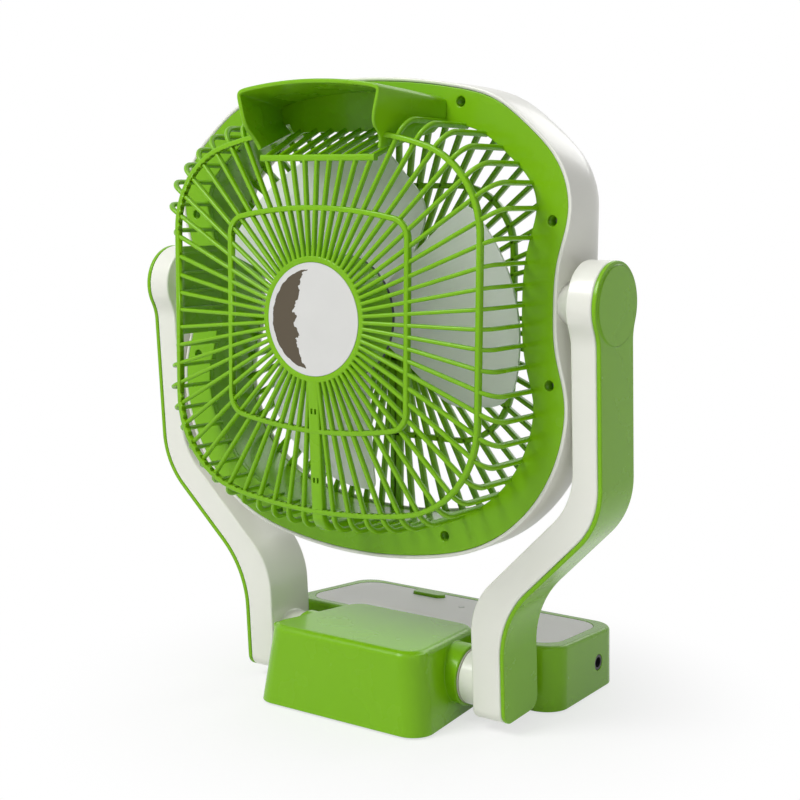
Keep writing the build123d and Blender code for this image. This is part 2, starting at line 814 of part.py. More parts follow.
# Head outline, drawn as one half from the crown down to the sill
lobe_turn = acos(1 - (lobe_half - waist_half) / (lobe_round + waist_round))
turn = degrees(lobe_turn)
waist_x = lobe_half - lobe_round + (lobe_round + waist_round) * cos(lobe_turn)
waist_drop = (lobe_round + waist_round) * sin(lobe_turn)
slant = radians(corner_turn)
corner_step = corner_upper - shoulder_round
upper_x = lobe_half - corner_upper
lower_x = lobe_half - corner_lower
shoulder_x = upper_x + corner_step * cos(slant) - corner_flat * sin(slant)
shoulder_z = lobe_upper_z + corner_step * sin(slant) + corner_flat * cos(slant)
crown_x = shoulder_x + shoulder_round * sin(radians(crown_slope))
crown_z = shoulder_z + shoulder_round * cos(radians(crown_slope))
crown_round = crown_x / sin(radians(crown_slope))
crown_middle_z = crown_z - crown_x / tan(radians(crown_slope))
sill_x = lower_x + corner_lower * sin(radians(sill_slope))
sill_z = lobe_lower_z - corner_lower * cos(radians(sill_slope))
sill_round = sill_x / sin(radians(sill_slope))
sill_middle_z = sill_z + sill_x / tan(radians(sill_slope))
with BuildSketch() as head_outline:
    with BuildLine():
        CenterArc((0, crown_middle_z), crown_round, 90, -crown_slope)
        shoulder = CenterArc(
            (shoulder_x, shoulder_z), shoulder_round, 90 - crown_slope, crown_slope + corner_turn - 90
        )
        corner = CenterArc((upper_x, lobe_upper_z), corner_upper, corner_turn, -corner_turn)
        Line(shoulder @ 1, corner @ 0)
        CenterArc((lobe_half - lobe_round, lobe_upper_z), lobe_round, 0, -turn)
        CenterArc((waist_x, lobe_upper_z - waist_drop), waist_round, 180 - turn, turn)
        Line(
            (waist_x - waist_round, lobe_upper_z - waist_drop),
            (waist_x - waist_round, lobe_lower_z + waist_drop),
        )
        CenterArc((waist_x, lobe_lower_z + waist_drop), waist_round, 180, turn)
        CenterArc((lobe_half - lobe_round, lobe_lower_z), lobe_round, turn, -turn)
        CenterArc((lower_x, lobe_lower_z), corner_lower, 0, sill_slope - 90)
        CenterArc((0, sill_middle_z), sill_round, sill_slope - 90, -sill_slope)
        mirror(about=Plane.YZ)
    make_face()

with BuildSketch() as head_opening:
    add(head_outline.sketch)
    offset(amount=-flange_width)

screw_places = [
    (side * x, z)
    for side in (-1, 1)
    for x, z in (
        (lobe_half - side_screw_inset, lobe_upper_z - side_screw_drop),
        (lobe_half - side_screw_inset, lobe_lower_z + side_screw_rise),
        (sill_x - sill_screw_inset, sill_z + sill_screw_rise),
        (crown_x - crown_screw_inset, crown_z - crown_screw_drop),
    )
]
tube_front_y = head_rear_y - screw_tube_depth

# Housing: white band, open behind, with a front wall round the grille
with BuildPart() as housing:
    with BuildSketch(facing_rear(head_rear_y)):
        add(head_outline.sketch)
        offset(amount=slip + housing_wall)
    extrude(amount=head_depth)
    fillet(faces().sort_by(Axis.Y)[0].edges(), housing_round)
    with BuildPart(mode=Mode.PRIVATE) as housing_hollow:
        with BuildSketch(facing_rear(head_rear_y)):
            add(head_outline.sketch)
            offset(amount=slip)
        extrude(amount=head_depth - front_wall)
        fillet(faces().sort_by(Axis.Y)[0].edges(), housing_round - housing_wall)
    add(housing_hollow.part, mode=Mode.SUBTRACT)
    with BuildSketch(facing_rear(head_front_y + front_wall + overrun)):
        add(head_opening.sketch)
        offset(amount=-overrun)
    extrude(amount=front_wall + 2 * overrun, mode=Mode.SUBTRACT)
    # Bosses for the flange screws
    with BuildSketch(facing_rear(tube_front_y)):
        with Locations(*screw_places):
            Circle(screw_tube_radius)
    extrude(amount=tube_front_y - head_front_y - front_wall)
    with BuildSketch(facing_rear(tube_front_y)):
        with Locations(*screw_places):
            Circle(screw_radius + running)
    extrude(amount=screw_length, mode=Mode.SUBTRACT)
    # Bosses for the tilt bolts
    for side in (-1, 1):
        with BuildSketch(Plane.YZ.offset(side * (waist_half + slip))):
            with Locations((tilt_y, tilt_z)):
                Circle(tilt_boss_radius)
        extrude(amount=side * (boss_end - waist_half - slip))
        with BuildSketch(Plane.YZ.offset(side * (boss_end - tilt_bolt_reach))):
            with Locations((tilt_y, tilt_z)):
                Circle(tilt_boss_radius / 2 + tilt_bolt_radius / 2)
        extrude(amount=side * tilt_bolt_reach)
        with BuildSketch(Plane.YZ.offset(side * (boss_end - tilt_bolt_reach))):
            with Locations((tilt_y, tilt_z)):
                Circle(tilt_bolt_radius + running)
        extrude(amount=side * tilt_bolt_reach, mode=Mode.SUBTRACT)
save(housing.part, "housing")

# Front grille: flat guard and the duct that runs back to the flange
grille_front_y = head_front_y + front_wall
with BuildPart() as front_grille:
    with BuildSketch(facing_rear(flange_front_y)):
        add(head_opening.sketch)
        offset(amount=duct_wall)
        add(head_opening.sketch, mode=Mode.SUBTRACT)
    extrude(amount=flange_front_y - grille_front_y)
    with BuildSketch(facing_rear(grille_rear_y)):
        with Locations((0, axis_z)):
            with PolarLocations(0, rib_count):
                Rectangle(2 * lobe_half, grille_rib_width, align=(Align.MIN, Align.CENTER))
            Rectangle(grille_spine_width, 2 * lobe_half, align=(Align.CENTER, Align.MAX))
            Circle(grille_hub_radius)
            RectangleRounded(
                2 * grille_ring_half_width, 2 * grille_ring_half_height, grille_ring_corner
            )
            grille_hole = 2 * grille_ring_width
        with BuildSketch(mode=Mode.PRIVATE) as grille_gaps:
            with Locations((0, axis_z)):
                RectangleRounded(
                    2 * grille_ring_half_width - grille_hole,
                    2 * grille_ring_half_height - grille_hole,
                    grille_ring_corner - grille_ring_width,
                )
                Circle(grille_hub_radius, mode=Mode.SUBTRACT)
                with PolarLocations(0, rib_count):
                    Rectangle(
                        2 * lobe_half, grille_rib_width,
                        align=(Align.MIN, Align.CENTER), mode=Mode.SUBTRACT,
                    )
                Rectangle(
                    grille_spine_width, 2 * lobe_half,
                    align=(Align.CENTER, Align.MAX), mode=Mode.SUBTRACT,
                )
        add(grille_gaps.sketch, mode=Mode.SUBTRACT)
        with BuildSketch(mode=Mode.PRIVATE) as grille_reach:
            add(head_opening.sketch)
            offset(amount=duct_wall / 2)
        add(grille_reach.sketch, mode=Mode.INTERSECT)
    extrude(amount=grille_thick)
save(front_grille.part, "front_grille")


# Rear grille
def rib_plane(angle):
    """Plane of one rib: outwards from the axis, and towards the rear."""
    a = radians(angle)
    return Plane((0, 0, axis_z), x_dir=(cos(a), 0, sin(a)), z_dir=(-sin(a), 0, cos(a)))


def cage_rear(reach):
    """Rear edge of the ribs at a distance from the axis."""
    return cage_y - cage_dome * (reach - cup_radius)


def opening_reach(angle):
    """Distance from the axis to the edge of the flange's opening."""
    a = radians(angle)
    far = 2 * lobe_half
    ray = Edge.make_line((0, axis_z), (far * cos(a), axis_z + far * sin(a)))
    return sum(piece.length for piece in head_opening.face().intersect(ray))


def bent_rib(angle, foot, corner, bend, width, depth):
    """Flat rib that rises from its foot to a rounded corner and runs in to the motor cup."""
    with BuildPart() as rib:
        with BuildSketch(rib_plane(angle)):
            with BuildLine():
                inner_end = (cup_radius - cup_wall / 2, cage_rear(cup_radius - cup_wall / 2))
                path = FilletPolyline(foot, corner, inner_end, radius=bend)
                offset(path, amount=depth, side=Side.LEFT)
            make_face()
        extrude(amount=width / 2, both=True)
    return rib.part


def cage_rib(angle, width=rib_width, depth=rib_depth):
    """Rib of the cage that stands on the edge of the flange's opening."""
    reach = opening_reach(angle) + rib_root
    foot, corner = (reach, flange_front_y), (reach, cage_rear(reach))
    return bent_rib(angle, foot, corner, rib_bend, width, depth)


def handle_rib(angle):
    """Rib that ends at the handle's chord and turns forward as its floor."""
    rise = sin(radians(angle))
    reach = chord_rise / rise
    foot, corner = ((rail_rise + rib_depth) / rise, flange_front_y), (reach, cage_rear(reach))
    return bent_rib(angle, foot, corner, handle_rib_bend, rib_width, rib_depth)


def bowed_square(half, ends, grow):
    """Square with rounded corners and bowed ends, seen from behind and grown on all sides."""
    with BuildSketch() as square:
        with BuildLine():
            corners = []
            for up, (reach, corner, slope) in zip((1, -1), ends):
                corner_x, corner_radius, fall = half - corner, corner + grow, radians(slope)
                bow_x = corner_x + corner_radius * sin(fall)
                bow = bow_x / sin(fall)
                corner_z = axis_z + up * (reach + grow - bow_x * tan(fall / 2) - corner_radius * cos(fall))
                CenterArc((0, axis_z + up * (reach + grow - bow)), bow, up * 90 - slope, 2 * slope)
                corners.append(CenterArc((corner_x, corner_z), corner_radius, 0, up * (90 - slope)))
                corners.append(CenterArc((-corner_x, corner_z), corner_radius, 180, up * (slope - 90)))
            Line(corners[0] @ 0, corners[2] @ 0)
            Line(corners[1] @ 0, corners[3] @ 0)
        make_face()
    return square.sketch


def square_ring(half, ends, y):
    """Bowed square ring set into the rear edge of the ribs."""
    with BuildPart() as ring:
        with BuildSketch(facing_rear(y)):
            add(bowed_square(half, ends, ring_width / 2))
            add(bowed_square(half, ends, -ring_width / 2), mode=Mode.SUBTRACT)
        extrude(amount=ring_depth)
    return ring.part


rib_angles = [360 / rib_count * step for step in range(rib_count)]
handle_angles = [angle for angle in rib_angles if abs(angle - 90) < handle_rib_half_angle]
cage_angles = [angle for angle in rib_angles if angle not in handle_angles and angle != 270]
ribs = [cage_rib(angle) for angle in cage_angles]
ribs += [handle_rib(angle) for angle in handle_angles]
ribs.append(cage_rib(270, channel_width, channel_depth))

chord_half = chord_rise * tan(radians(handle_angles[-1] - 90)) + rib_width
chord_y = cage_rear(chord_rise)
web_low_z = axis_z - web_drop
web_high_z = axis_z + web_rise
outer_ring_y = cage_rear(outer_ring_half)
inner_ring_y = cage_rear(inner_ring_half)
with BuildPart() as rear_grille:
    # Flange with its screw tubes
    with BuildSketch(facing_rear(head_rear_y)):
        add(head_outline.sketch)
        add(head_opening.sketch, mode=Mode.SUBTRACT)
    extrude(amount=flange_thick)
    with BuildSketch(facing_rear(head_rear_y)):
        with Locations((0, rail_z)):
            rail_height = crown_middle_z + crown_round - flange_width - rail_z
            Rectangle(2 * rail_half, rail_height, align=(Align.CENTER, Align.MIN))
    extrude(amount=flange_thick)
    with BuildSketch(facing_rear(head_rear_y)):
        with Locations(*screw_places):
            Circle(screw_tube_radius)
    extrude(amount=screw_tube_depth)
    with BuildSketch(facing_rear(head_rear_y)):
        with Locations(*screw_places):
            Circle(screw_well_radius)
    extrude(amount=screw_well_depth, mode=Mode.SUBTRACT)
    with BuildSketch(facing_rear(head_rear_y)):
        with Locations(*screw_places):
            Circle(screw_hole_radius)
    extrude(amount=screw_tube_depth, mode=Mode.SUBTRACT)
    # Outer ring, left open where the handle's mouth is, and the inner ring
    with BuildPart(mode=Mode.PRIVATE) as outer_ring:
        add(square_ring(outer_ring_half, outer_ring_ends, outer_ring_y))
        with BuildSketch(facing_rear(outer_ring_y + overrun)):
            with Locations((0, axis_z)):
                Rectangle(2 * mouth_side_half, 2 * outer_ring_half, align=(Align.CENTER, Align.MIN))
        extrude(amount=ring_depth + 2 * overrun, mode=Mode.SUBTRACT)
    with BuildPart(mode=Mode.PRIVATE) as chord_bar:
        with BuildSketch(facing_rear(chord_y)):
            with Locations((0, chord_z)):
                Rectangle(2 * chord_half, rib_depth, align=(Align.CENTER, Align.MAX))
        extrude(amount=chord_depth)
    # Solid web between the ribs beside the left pivot
    with BuildPart(mode=Mode.PRIVATE) as waist_web:
        with BuildSketch(Plane.XY.offset(web_low_z)):
            with BuildLine():
                web_x = waist_half - flange_width + rib_root
                web_path = FilletPolyline(
                    (web_x, flange_front_y), (web_x, cage_rear(web_x)),
                    (cup_radius, cage_y), radius=rib_bend,
                )
                offset(web_path, amount=web_thick, side=Side.LEFT)
            make_face()
            with Locations((0, cage_y)):
                Rectangle(outer_ring_half, cage_y, align=(Align.MIN, Align.CENTER), mode=Mode.SUBTRACT)
        extrude(amount=web_high_z - web_low_z)
    add(ribs)
    add(outer_ring.part)
    add(square_ring(inner_ring_half, inner_ring_ends, inner_ring_y))
    add(chord_bar.part)
    add(waist_web.part)
    # Motor cup with a shallow seat for the label disc
    with BuildSketch(facing_rear(cage_y)):
        with Locations((0, axis_z)):
            Circle(cup_radius)
    extrude(amount=cup_depth)
    with BuildSketch(facing_rear(cage_y)):
        with Locations((0, axis_z)):
            Circle(label_radius)
    extrude(amount=label_recess, mode=Mode.SUBTRACT)
    with BuildSketch(facing_rear(cage_y - label_recess - cup_wall)):
        with Locations((0, axis_z)):
            Circle(cup_radius - cup_wall)
            with PolarLocations(cup_radius - plate_post_radius, 3):
                Circle(plate_post_radius, mode=Mode.SUBTRACT)
    extrude(amount=cup_depth, mode=Mode.SUBTRACT)
    with BuildSketch(facing_rear(cup_front_y)):
        with Locations((0, axis_z)):
            with PolarLocations(cup_radius - plate_post_radius, 3):
                Circle(plate_screw_radius + running)
    extrude(amount=-plate_screw_length, mode=Mode.SUBTRACT)
    # Paired slots in the wire channel
    with BuildSketch(facing_rear(cage_y)):
        for slot_drop in (channel_slot_inner, channel_slot_outer):
            with Locations((0, axis_z - slot_drop)):
                with GridLocations(channel_slot_spread, 0, 2, 1):
                    Rectangle(channel_slot, channel_slot_length)
    extrude(amount=channel_depth, mode=Mode.SUBTRACT)
save(rear_grille.part, "rear_grille")


# Carry handle: hood lofted from the flange to its slanting mouth
def hood_section(y, halves, rises, inset):
    """Closed section of the hood, or of its hollow, which opens through the floor."""
    top_half, side_half, floor_half = (half - inset for half in halves)
    crown, shoulder, side, floor = (axis_z + rise for rise in rises)
    shoulder -= inset
    floor -= inset
    with BuildSketch(facing_rear(y)) as section:
        with BuildLine():
            ThreePointArc((-top_half, shoulder), (0, crown - inset), (top_half, shoulder))
            Polyline(
                (top_half, shoulder), (side_half, side), (floor_half, floor),
                (-floor_half, floor), (-side_half, side), (-top_half, shoulder),
            )
        make_face()
    return section.sketch


def hood_body(inset):
    """Hood from the flange to its mouth, or its hollow when it is inset by the wall."""
    with BuildPart() as hood:
        loft([
            hood_section(
                head_rear_y, (root_half, root_half, root_floor_half),
                (root_crown_rise, root_shoulder_rise, root_side_rise, root_floor_rise), inset,
            ),
            hood_section(
                handle_y, (mouth_half, mouth_side_half, mouth_floor_half),
                (mouth_crown_rise, mouth_shoulder_rise, mouth_side_rise, mouth_floor_rise), inset,
            ),
        ])
    return hood.part


with BuildPart() as carry_handle:
    add(hood_body(0))
    add(hood_body(hood_wall), mode=Mode.SUBTRACT)
    # Mouth: the sides run forward below and end beside the outer ring
    notch_z = axis_z + mouth_notch_rise
    notch_low_z = axis_z + mouth_notch_low_rise
    mouth_foot_z = axis_z + mouth_floor_rise - hood_wall - overrun
    with BuildSketch(Plane.YZ):
        with BuildLine():
            Polyline(
                (handle_y + overrun, notch_z), (handle_y, notch_z),
                (handle_y - mouth_notch_depth, notch_low_z), (handle_y - mouth_setback, mouth_foot_z),
                (handle_y + overrun, mouth_foot_z), close=True,
            )
        make_face()
    extrude(amount=root_half + overrun, both=True, mode=Mode.SUBTRACT)
    # The ribs beside the hood pass through its walls
    add(rear_grille.part, mode=Mode.SUBTRACT)
save(carry_handle.part, "carry_handle")

# Screws of the flange, sunk in their wells
well_floor_y = head_rear_y - screw_well_depth
with BuildPart() as cover_screws:
    with BuildSketch(facing_rear(well_floor_y + screw_head_thick)):
        with Locations(*screw_places):
            Circle(screw_head_radius)
    extrude(amount=screw_head_thick)
    with BuildSketch(facing_rear(well_floor_y)):
        with Locations(*screw_places):
            Circle(screw_radius)
    extrude(amount=screw_length)
save(cover_screws.part, "cover_screws")

with BuildPart() as label_disc:
    with BuildSketch(facing_rear(cage_y - label_recess + label_thick)):
        with Locations((0, axis_z)):
            Circle(label_radius - slip)
    extrude(amount=label_thick)
save(label_disc.part, "label_disc")

# Motor on its plate at the mouth of the cup
with BuildPart() as motor_plate:
    with BuildSketch(facing_rear(motor_front_y)):
        with Locations((0, axis_z)):
            Circle(cup_radius)
            Circle(bush_radius + slip, mode=Mode.SUBTRACT)
            with PolarLocations(cup_radius - plate_post_radius, 3):
                Circle(plate_screw_radius + running, mode=Mode.SUBTRACT)
    extrude(amount=motor_plate_thick)
save(motor_plate.part, "motor_plate")

with BuildPart() as motor_body:
    with BuildSketch(facing_rear(motor_front_y + motor_length)):
        with Locations((0, axis_z)):
            Circle(motor_radius)
            Circle(bush_radius, mode=Mode.SUBTRACT)
    extrude(amount=motor_length)
save(motor_body.part, "motor_body")

for name, bush_rear_y in (
    ("front_bush", motor_front_y + bush_length / 2),
    ("rear_bush", motor_front_y + motor_length),
):
    with BuildPart() as bush:
        with BuildSketch(facing_rear(bush_rear_y)):
            with Locations((0, axis_z)):
                Circle(bush_radius)
                Circle(shaft_radius + running, mode=Mode.SUBTRACT)
        extrude(amount=bush_length)
    save(bush.part, name)

plate_front_y = motor_front_y - motor_plate_thick
with BuildPart() as plate_screws:
    with BuildSketch(facing_rear(plate_front_y)):
        with Locations((0, axis_z)):
            with PolarLocations(cup_radius - plate_post_radius, 3):
                Circle(plate_screw_head)
    extrude(amount=plate_screw_head_thick)
    with BuildSketch(facing_rear(plate_front_y)):
        with Locations((0, axis_z)):
            with PolarLocations(cup_radius - plate_post_radius, 3):
                Circle(plate_screw_radius)
    extrude(amount=-plate_screw_length)
save(plate_screws.part, "plate_screws")

# Turning parts: shaft, blades on their hub and the nut in front
shaft_rear_y = motor_front_y + motor_length - touch
shaft_front_y = hub_front_y - spinner_depth / 2
with BuildPart() as motor_shaft:
    with BuildSketch(facing_rear(shaft_rear_y)):
        with Locations((0, axis_z)):
            Circle(shaft_radius)
    extrude(amount=shaft_rear_y - shaft_front_y)
save(motor_shaft.part, "motor_shaft")


def blade_slab(angle, reach, pitch):
    """Section of the slab across the blade at a distance from the axis."""
    a = radians(angle)
    out = Vector(cos(a), 0, sin(a))
    across = Vector(-sin(a), 0, cos(a)) * cos(radians(pitch)) - Vector(0, 1, 0) * sin(radians(pitch))
    with BuildSketch(Plane(Vector(0, fan_y, axis_z) + out * reach, x_dir=across, z_dir=out)) as slab:
        Rectangle(blade_slab_width, blade_thick)
    return slab.sketch


def fan_blade(angle):
    """Wide blade: a twisted slab trimmed to the blade's outline seen along the axis."""
    out = (cos(radians(angle)), 0, sin(radians(angle)))
    with BuildPart() as blade:
        loft(
            [blade_slab(angle, 0, blade_root_pitch), blade_slab(angle, blade_radius, blade_tip_pitch)],
            ruled=True,
        )
        with BuildSketch(Plane((0, fan_y + blade_radius, axis_z), x_dir=out, z_dir=(0, -1, 0))):
            with BuildLine():
                far = 1.2 * blade_radius
                corners = [
                    (reach * cos(radians(turn)), reach * sin(radians(turn))) for reach, turn in (
                        (blade_root_radius, blade_lead_root_angle), (far, blade_lead_angle),
                        (far, blade_trail_angle), (blade_trail_radius, blade_trail_low_angle),
                        (blade_root_radius, blade_trail_root_angle),
                    )
                ]
                Polyline(*corners, close=True)
            make_face()
            Circle(blade_radius, mode=Mode.INTERSECT)
            fillet(vertices().sort_by(Axis.Y)[0], blade_lead_round)
            fillet(vertices().sort_by(Axis.Y)[-1], blade_trail_round)
            fillet(vertices().sort_by(Axis.X)[-1], blade_trail_round)
        extrude(amount=2 * blade_radius, mode=Mode.INTERSECT)
    return blade.part


with BuildPart() as fan_blades:
    with BuildSketch(facing_rear(hub_rear_y)):
        with Locations((0, axis_z)):
            Circle(fan_hub_radius)
    extrude(amount=fan_hub_depth)
    fillet(faces().sort_by(Axis.Y)[0].edges(), fan_hub_edge)
    for step in range(blade_count):
        add(fan_blade(blade_first_angle + 360 / blade_count * step))
    with BuildSketch(facing_rear(hub_rear_y + overrun)):
        with Locations((0, axis_z)):
            Circle(shaft_radius + running)
    extrude(amount=fan_hub_depth + 2 * overrun, mode=Mode.SUBTRACT)
save(fan_blades.part, "fan_blades")

with BuildPart() as spinner_nut:
    with BuildSketch(facing_rear(hub_front_y)):
        with Locations((0, axis_z)):
            RegularPolygon(spinner_radius, side_count=6)
            Circle(shaft_radius + running, mode=Mode.SUBTRACT)
    extrude(amount=spinner_depth)
save(spinner_nut.part, "spinner_nut")
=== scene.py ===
from math import acos, asin, ceil, cos, hypot, pi, radians, sin, tan

import bmesh
import bpy
from mathutils import Matrix, Vector


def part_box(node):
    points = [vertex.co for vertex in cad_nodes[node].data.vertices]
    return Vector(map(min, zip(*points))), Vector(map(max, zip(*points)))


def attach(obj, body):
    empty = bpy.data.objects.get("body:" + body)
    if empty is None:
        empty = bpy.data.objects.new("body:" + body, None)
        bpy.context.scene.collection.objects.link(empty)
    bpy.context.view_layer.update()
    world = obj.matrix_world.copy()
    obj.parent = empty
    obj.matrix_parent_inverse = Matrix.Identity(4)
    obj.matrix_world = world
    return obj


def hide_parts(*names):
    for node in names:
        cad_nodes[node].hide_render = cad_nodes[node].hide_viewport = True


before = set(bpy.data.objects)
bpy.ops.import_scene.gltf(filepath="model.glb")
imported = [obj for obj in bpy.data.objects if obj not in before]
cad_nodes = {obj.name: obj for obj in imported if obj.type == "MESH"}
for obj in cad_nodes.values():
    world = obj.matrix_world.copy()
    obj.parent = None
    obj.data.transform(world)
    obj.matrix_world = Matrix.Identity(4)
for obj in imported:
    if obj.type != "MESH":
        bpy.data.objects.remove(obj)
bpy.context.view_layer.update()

# Studio: a pale floor that runs out into a white surround, lit by four large soft lamps.
# The camera stands behind the fan's right shoulder, at the height of the handle.
scene = bpy.context.scene
scene.view_settings.view_transform = "Standard"
camera_place = (-0.4752, 0.6757, 0.2797)
camera_azimuth = radians(215.33)
camera_elevation = radians(7.83)
camera_roll = radians(0.38)
camera_lens = 67.8
backwards = Vector((
    sin(camera_azimuth) * cos(camera_elevation),
    -cos(camera_azimuth) * cos(camera_elevation),
    sin(camera_elevation),
))
level_right = Vector((cos(camera_azimuth), sin(camera_azimuth), 0))
level_up = backwards.cross(level_right)
camera = bpy.data.objects.new("camera", bpy.data.cameras.new("camera"))
camera.data.lens = camera_lens
camera.data.clip_start = 0.01
camera.matrix_world = Matrix.Translation(camera_place) @ Matrix((
    cos(camera_roll) * level_right + sin(camera_roll) * level_up,
    cos(camera_roll) * level_up - sin(camera_roll) * level_right,
    backwards,
)).transposed().to_4x4()
scene.collection.objects.link(camera)
scene.camera = camera

lamp_aim = Vector((0, 0, 0.17))
for lamp_name, lamp_place, lamp_size, lamp_watts in (
    ("key_lamp", (0.70, 1.40, 1.75), 1.0, 37),
    ("side_lamp", (-1.5, 1.10, 0.9), 1.2, 4.5),
    ("front_lamp", (-0.2, -1.9, 1.4), 1.0, 9),
    ("top_lamp", (0.0, 0.3, 2.0), 1.6, 3),
):
    lamp = bpy.data.objects.new(lamp_name, bpy.data.lights.new(lamp_name, "AREA"))
    lamp.data.size = lamp_size
    lamp.data.energy = lamp_watts
    lamp.location = lamp_place
    lamp.rotation_euler = (lamp_aim - Vector(lamp_place)).to_track_quat("-Z", "Y").to_euler()
    scene.collection.objects.link(lamp)


def seen_directly(tree):
    """One where the camera, a gloss or a clear piece looks straight at the surround."""
    rays = tree.nodes.new("ShaderNodeLightPath")
    seen = rays.outputs["Is Camera Ray"]
    for kind in ("Is Transmission Ray", "Is Glossy Ray"):
        either = tree.nodes.new("ShaderNodeMath")
        either.operation = "MAXIMUM"
        tree.links.new(seen, either.inputs[0])
        tree.links.new(rays.outputs[kind], either.inputs[1])
        seen = either.outputs[0]
    return seen


surround_light = 0.22
surround = bpy.data.worlds.new("white_surround")
surround.use_nodes = True
scene.world = surround
sky = surround.node_tree.nodes["Background"]
sky_level = surround.node_tree.nodes.new("ShaderNodeMapRange")
sky_level.inputs["To Min"].default_value = surround_light
surround.node_tree.links.new(seen_directly(surround.node_tree), sky_level.inputs["Value"])
surround.node_tree.links.new(sky_level.outputs["Result"], sky.inputs["Strength"])
sky.inputs["Color"].default_value = (1, 1, 1, 1)

floor_half = 6.0
floor_fade_start = 0.06
floor_fade_end = 0.22
floor_least_glow = 0.65
floor_mesh = bpy.data.meshes.new("floor")
floor_mesh.from_pydata(
    [(x * floor_half, y * floor_half, 0) for x, y in ((-1, -1), (1, -1), (1, 1), (-1, 1))],
    [], [(0, 1, 2, 3)],
)
floor = bpy.data.objects.new("floor", floor_mesh)
scene.collection.objects.link(floor)
floor_paint = bpy.data.materials.new("pale_floor")
floor_paint.use_nodes = True
floor_tree = floor_paint.node_tree
floor_matt = floor_tree.nodes["Principled BSDF"]
floor_matt.inputs["Base Color"].default_value = (0.93, 0.93, 0.93, 1)
floor_matt.inputs["Roughness"].default_value = 0.75
floor_matt.inputs["Specular IOR Level"].default_value = 0.1
floor_place = floor_tree.nodes.new("ShaderNodeTexCoord")
floor_reach = floor_tree.nodes.new("ShaderNodeVectorMath")
floor_reach.operation = "LENGTH"
floor_fade = floor_tree.nodes.new("ShaderNodeMapRange")
floor_fade.interpolation_type = "SMOOTHSTEP"
floor_fade.inputs["From Min"].default_value = floor_fade_start
floor_fade.inputs["From Max"].default_value = floor_fade_end
floor_fade.inputs["To Min"].default_value = floor_least_glow
floor_glow = floor_tree.nodes.new("ShaderNodeEmission")
floor_share = floor_tree.nodes.new("ShaderNodeMath")
floor_share.operation = "MULTIPLY"
floor_blend = floor_tree.nodes.new("ShaderNodeMixShader")
floor_tree.links.new(floor_place.outputs["Object"], floor_reach.inputs[0])
floor_tree.links.new(floor_reach.outputs["Value"], floor_fade.inputs["Value"])
floor_tree.links.new(floor_fade.outputs["Result"], floor_share.inputs[0])
floor_tree.links.new(seen_directly(floor_tree), floor_share.inputs[1])
floor_tree.links.new(floor_share.outputs[0], floor_blend.inputs["Fac"])
floor_tree.links.new(floor_matt.outputs["BSDF"], floor_blend.inputs[1])
floor_tree.links.new(floor_glow.outputs["Emission"], floor_blend.inputs[2])
floor_tree.links.new(floor_blend.outputs["Shader"], floor_tree.nodes["Material Output"].inputs["Surface"])
floor.data.materials.append(floor_paint)


def finish(name, colour, flow_colour, roughness, flow=35.0, grain_depth=0.05, metallic=0.0):
    """Moulded or cast surface: faint flow marks in its colour, a fine grain and uneven gloss."""
    flow_detail = 4.0
    gloss_low, gloss_high = 0.8, 1.25
    grain_scale = 1400.0
    grain_detail = 2.0
    grain_height = 0.0003
    surface = bpy.data.materials.new(name)
    surface.use_nodes = True
    tree = surface.node_tree
    shader = tree.nodes["Principled BSDF"]
    shader.inputs["Metallic"].default_value = metallic
    place = tree.nodes.new("ShaderNodeTexCoord")
    marks = tree.nodes.new("ShaderNodeTexNoise")
    marks.inputs["Scale"].default_value = flow
    marks.inputs["Detail"].default_value = flow_detail
    tint = tree.nodes.new("ShaderNodeMix")
    tint.data_type = "RGBA"
    tint.inputs["A"].default_value = (*colour, 1)
    tint.inputs["B"].default_value = (*flow_colour, 1)
    gloss = tree.nodes.new("ShaderNodeMapRange")
    gloss.inputs["To Min"].default_value = roughness * gloss_low
    gloss.inputs["To Max"].default_value = roughness * gloss_high
    grit = tree.nodes.new("ShaderNodeTexNoise")
    grit.inputs["Scale"].default_value = grain_scale
    grit.inputs["Detail"].default_value = grain_detail
    relief = tree.nodes.new("ShaderNodeBump")
    relief.inputs["Strength"].default_value = grain_depth
    relief.inputs["Distance"].default_value = grain_height
    tree.links.new(place.outputs["Object"], marks.inputs["Vector"])
    tree.links.new(place.outputs["Object"], grit.inputs["Vector"])
    tree.links.new(marks.outputs["Fac"], tint.inputs["Factor"])
    tree.links.new(tint.outputs["Result"], shader.inputs["Base Color"])
    tree.links.new(marks.outputs["Fac"], gloss.inputs["Value"])
    tree.links.new(gloss.outputs["Result"], shader.inputs["Roughness"])
    tree.links.new(grit.outputs["Fac"], relief.inputs["Height"])
    tree.links.new(relief.outputs["Normal"], shader.inputs["Normal"])
    return surface


def shader_of(surface):
    """The main shader of a finish, to set what is the same all over it."""
    return surface.node_tree.nodes["Principled BSDF"]


def placed(name, mesh, surface):
    """Piece in the scene from a mesh, all in one finish."""
    mesh.materials.append(surface)
    piece = bpy.data.objects.new(name, mesh)
    scene.collection.objects.link(piece)
    return piece


def settle(piece):
    """Turn a piece's modifiers into a plain mesh."""
    bpy.context.view_layer.update()
    made = piece.evaluated_get(bpy.context.evaluated_depsgraph_get())
    mesh = bpy.data.meshes.new_from_object(made)
    piece.modifiers.clear()
    piece.data = mesh
    return piece


def round_edges(piece, width, steps=3, angle=32.0):
    """Round a piece's hard edges and keep its flats flat under smooth shading."""
    rounding = piece.modifiers.new("rounding", "BEVEL")
    rounding.width = width
    rounding.segments = steps
    rounding.limit_method = "ANGLE"
    rounding.angle_limit = radians(angle)
    rounding.use_clamp_overlap = False
    rounding.harden_normals = False
    evening = piece.modifiers.new("evening", "WEIGHTED_NORMAL")
    evening.weight = 90
    evening.keep_sharp = True
    return settle(piece)


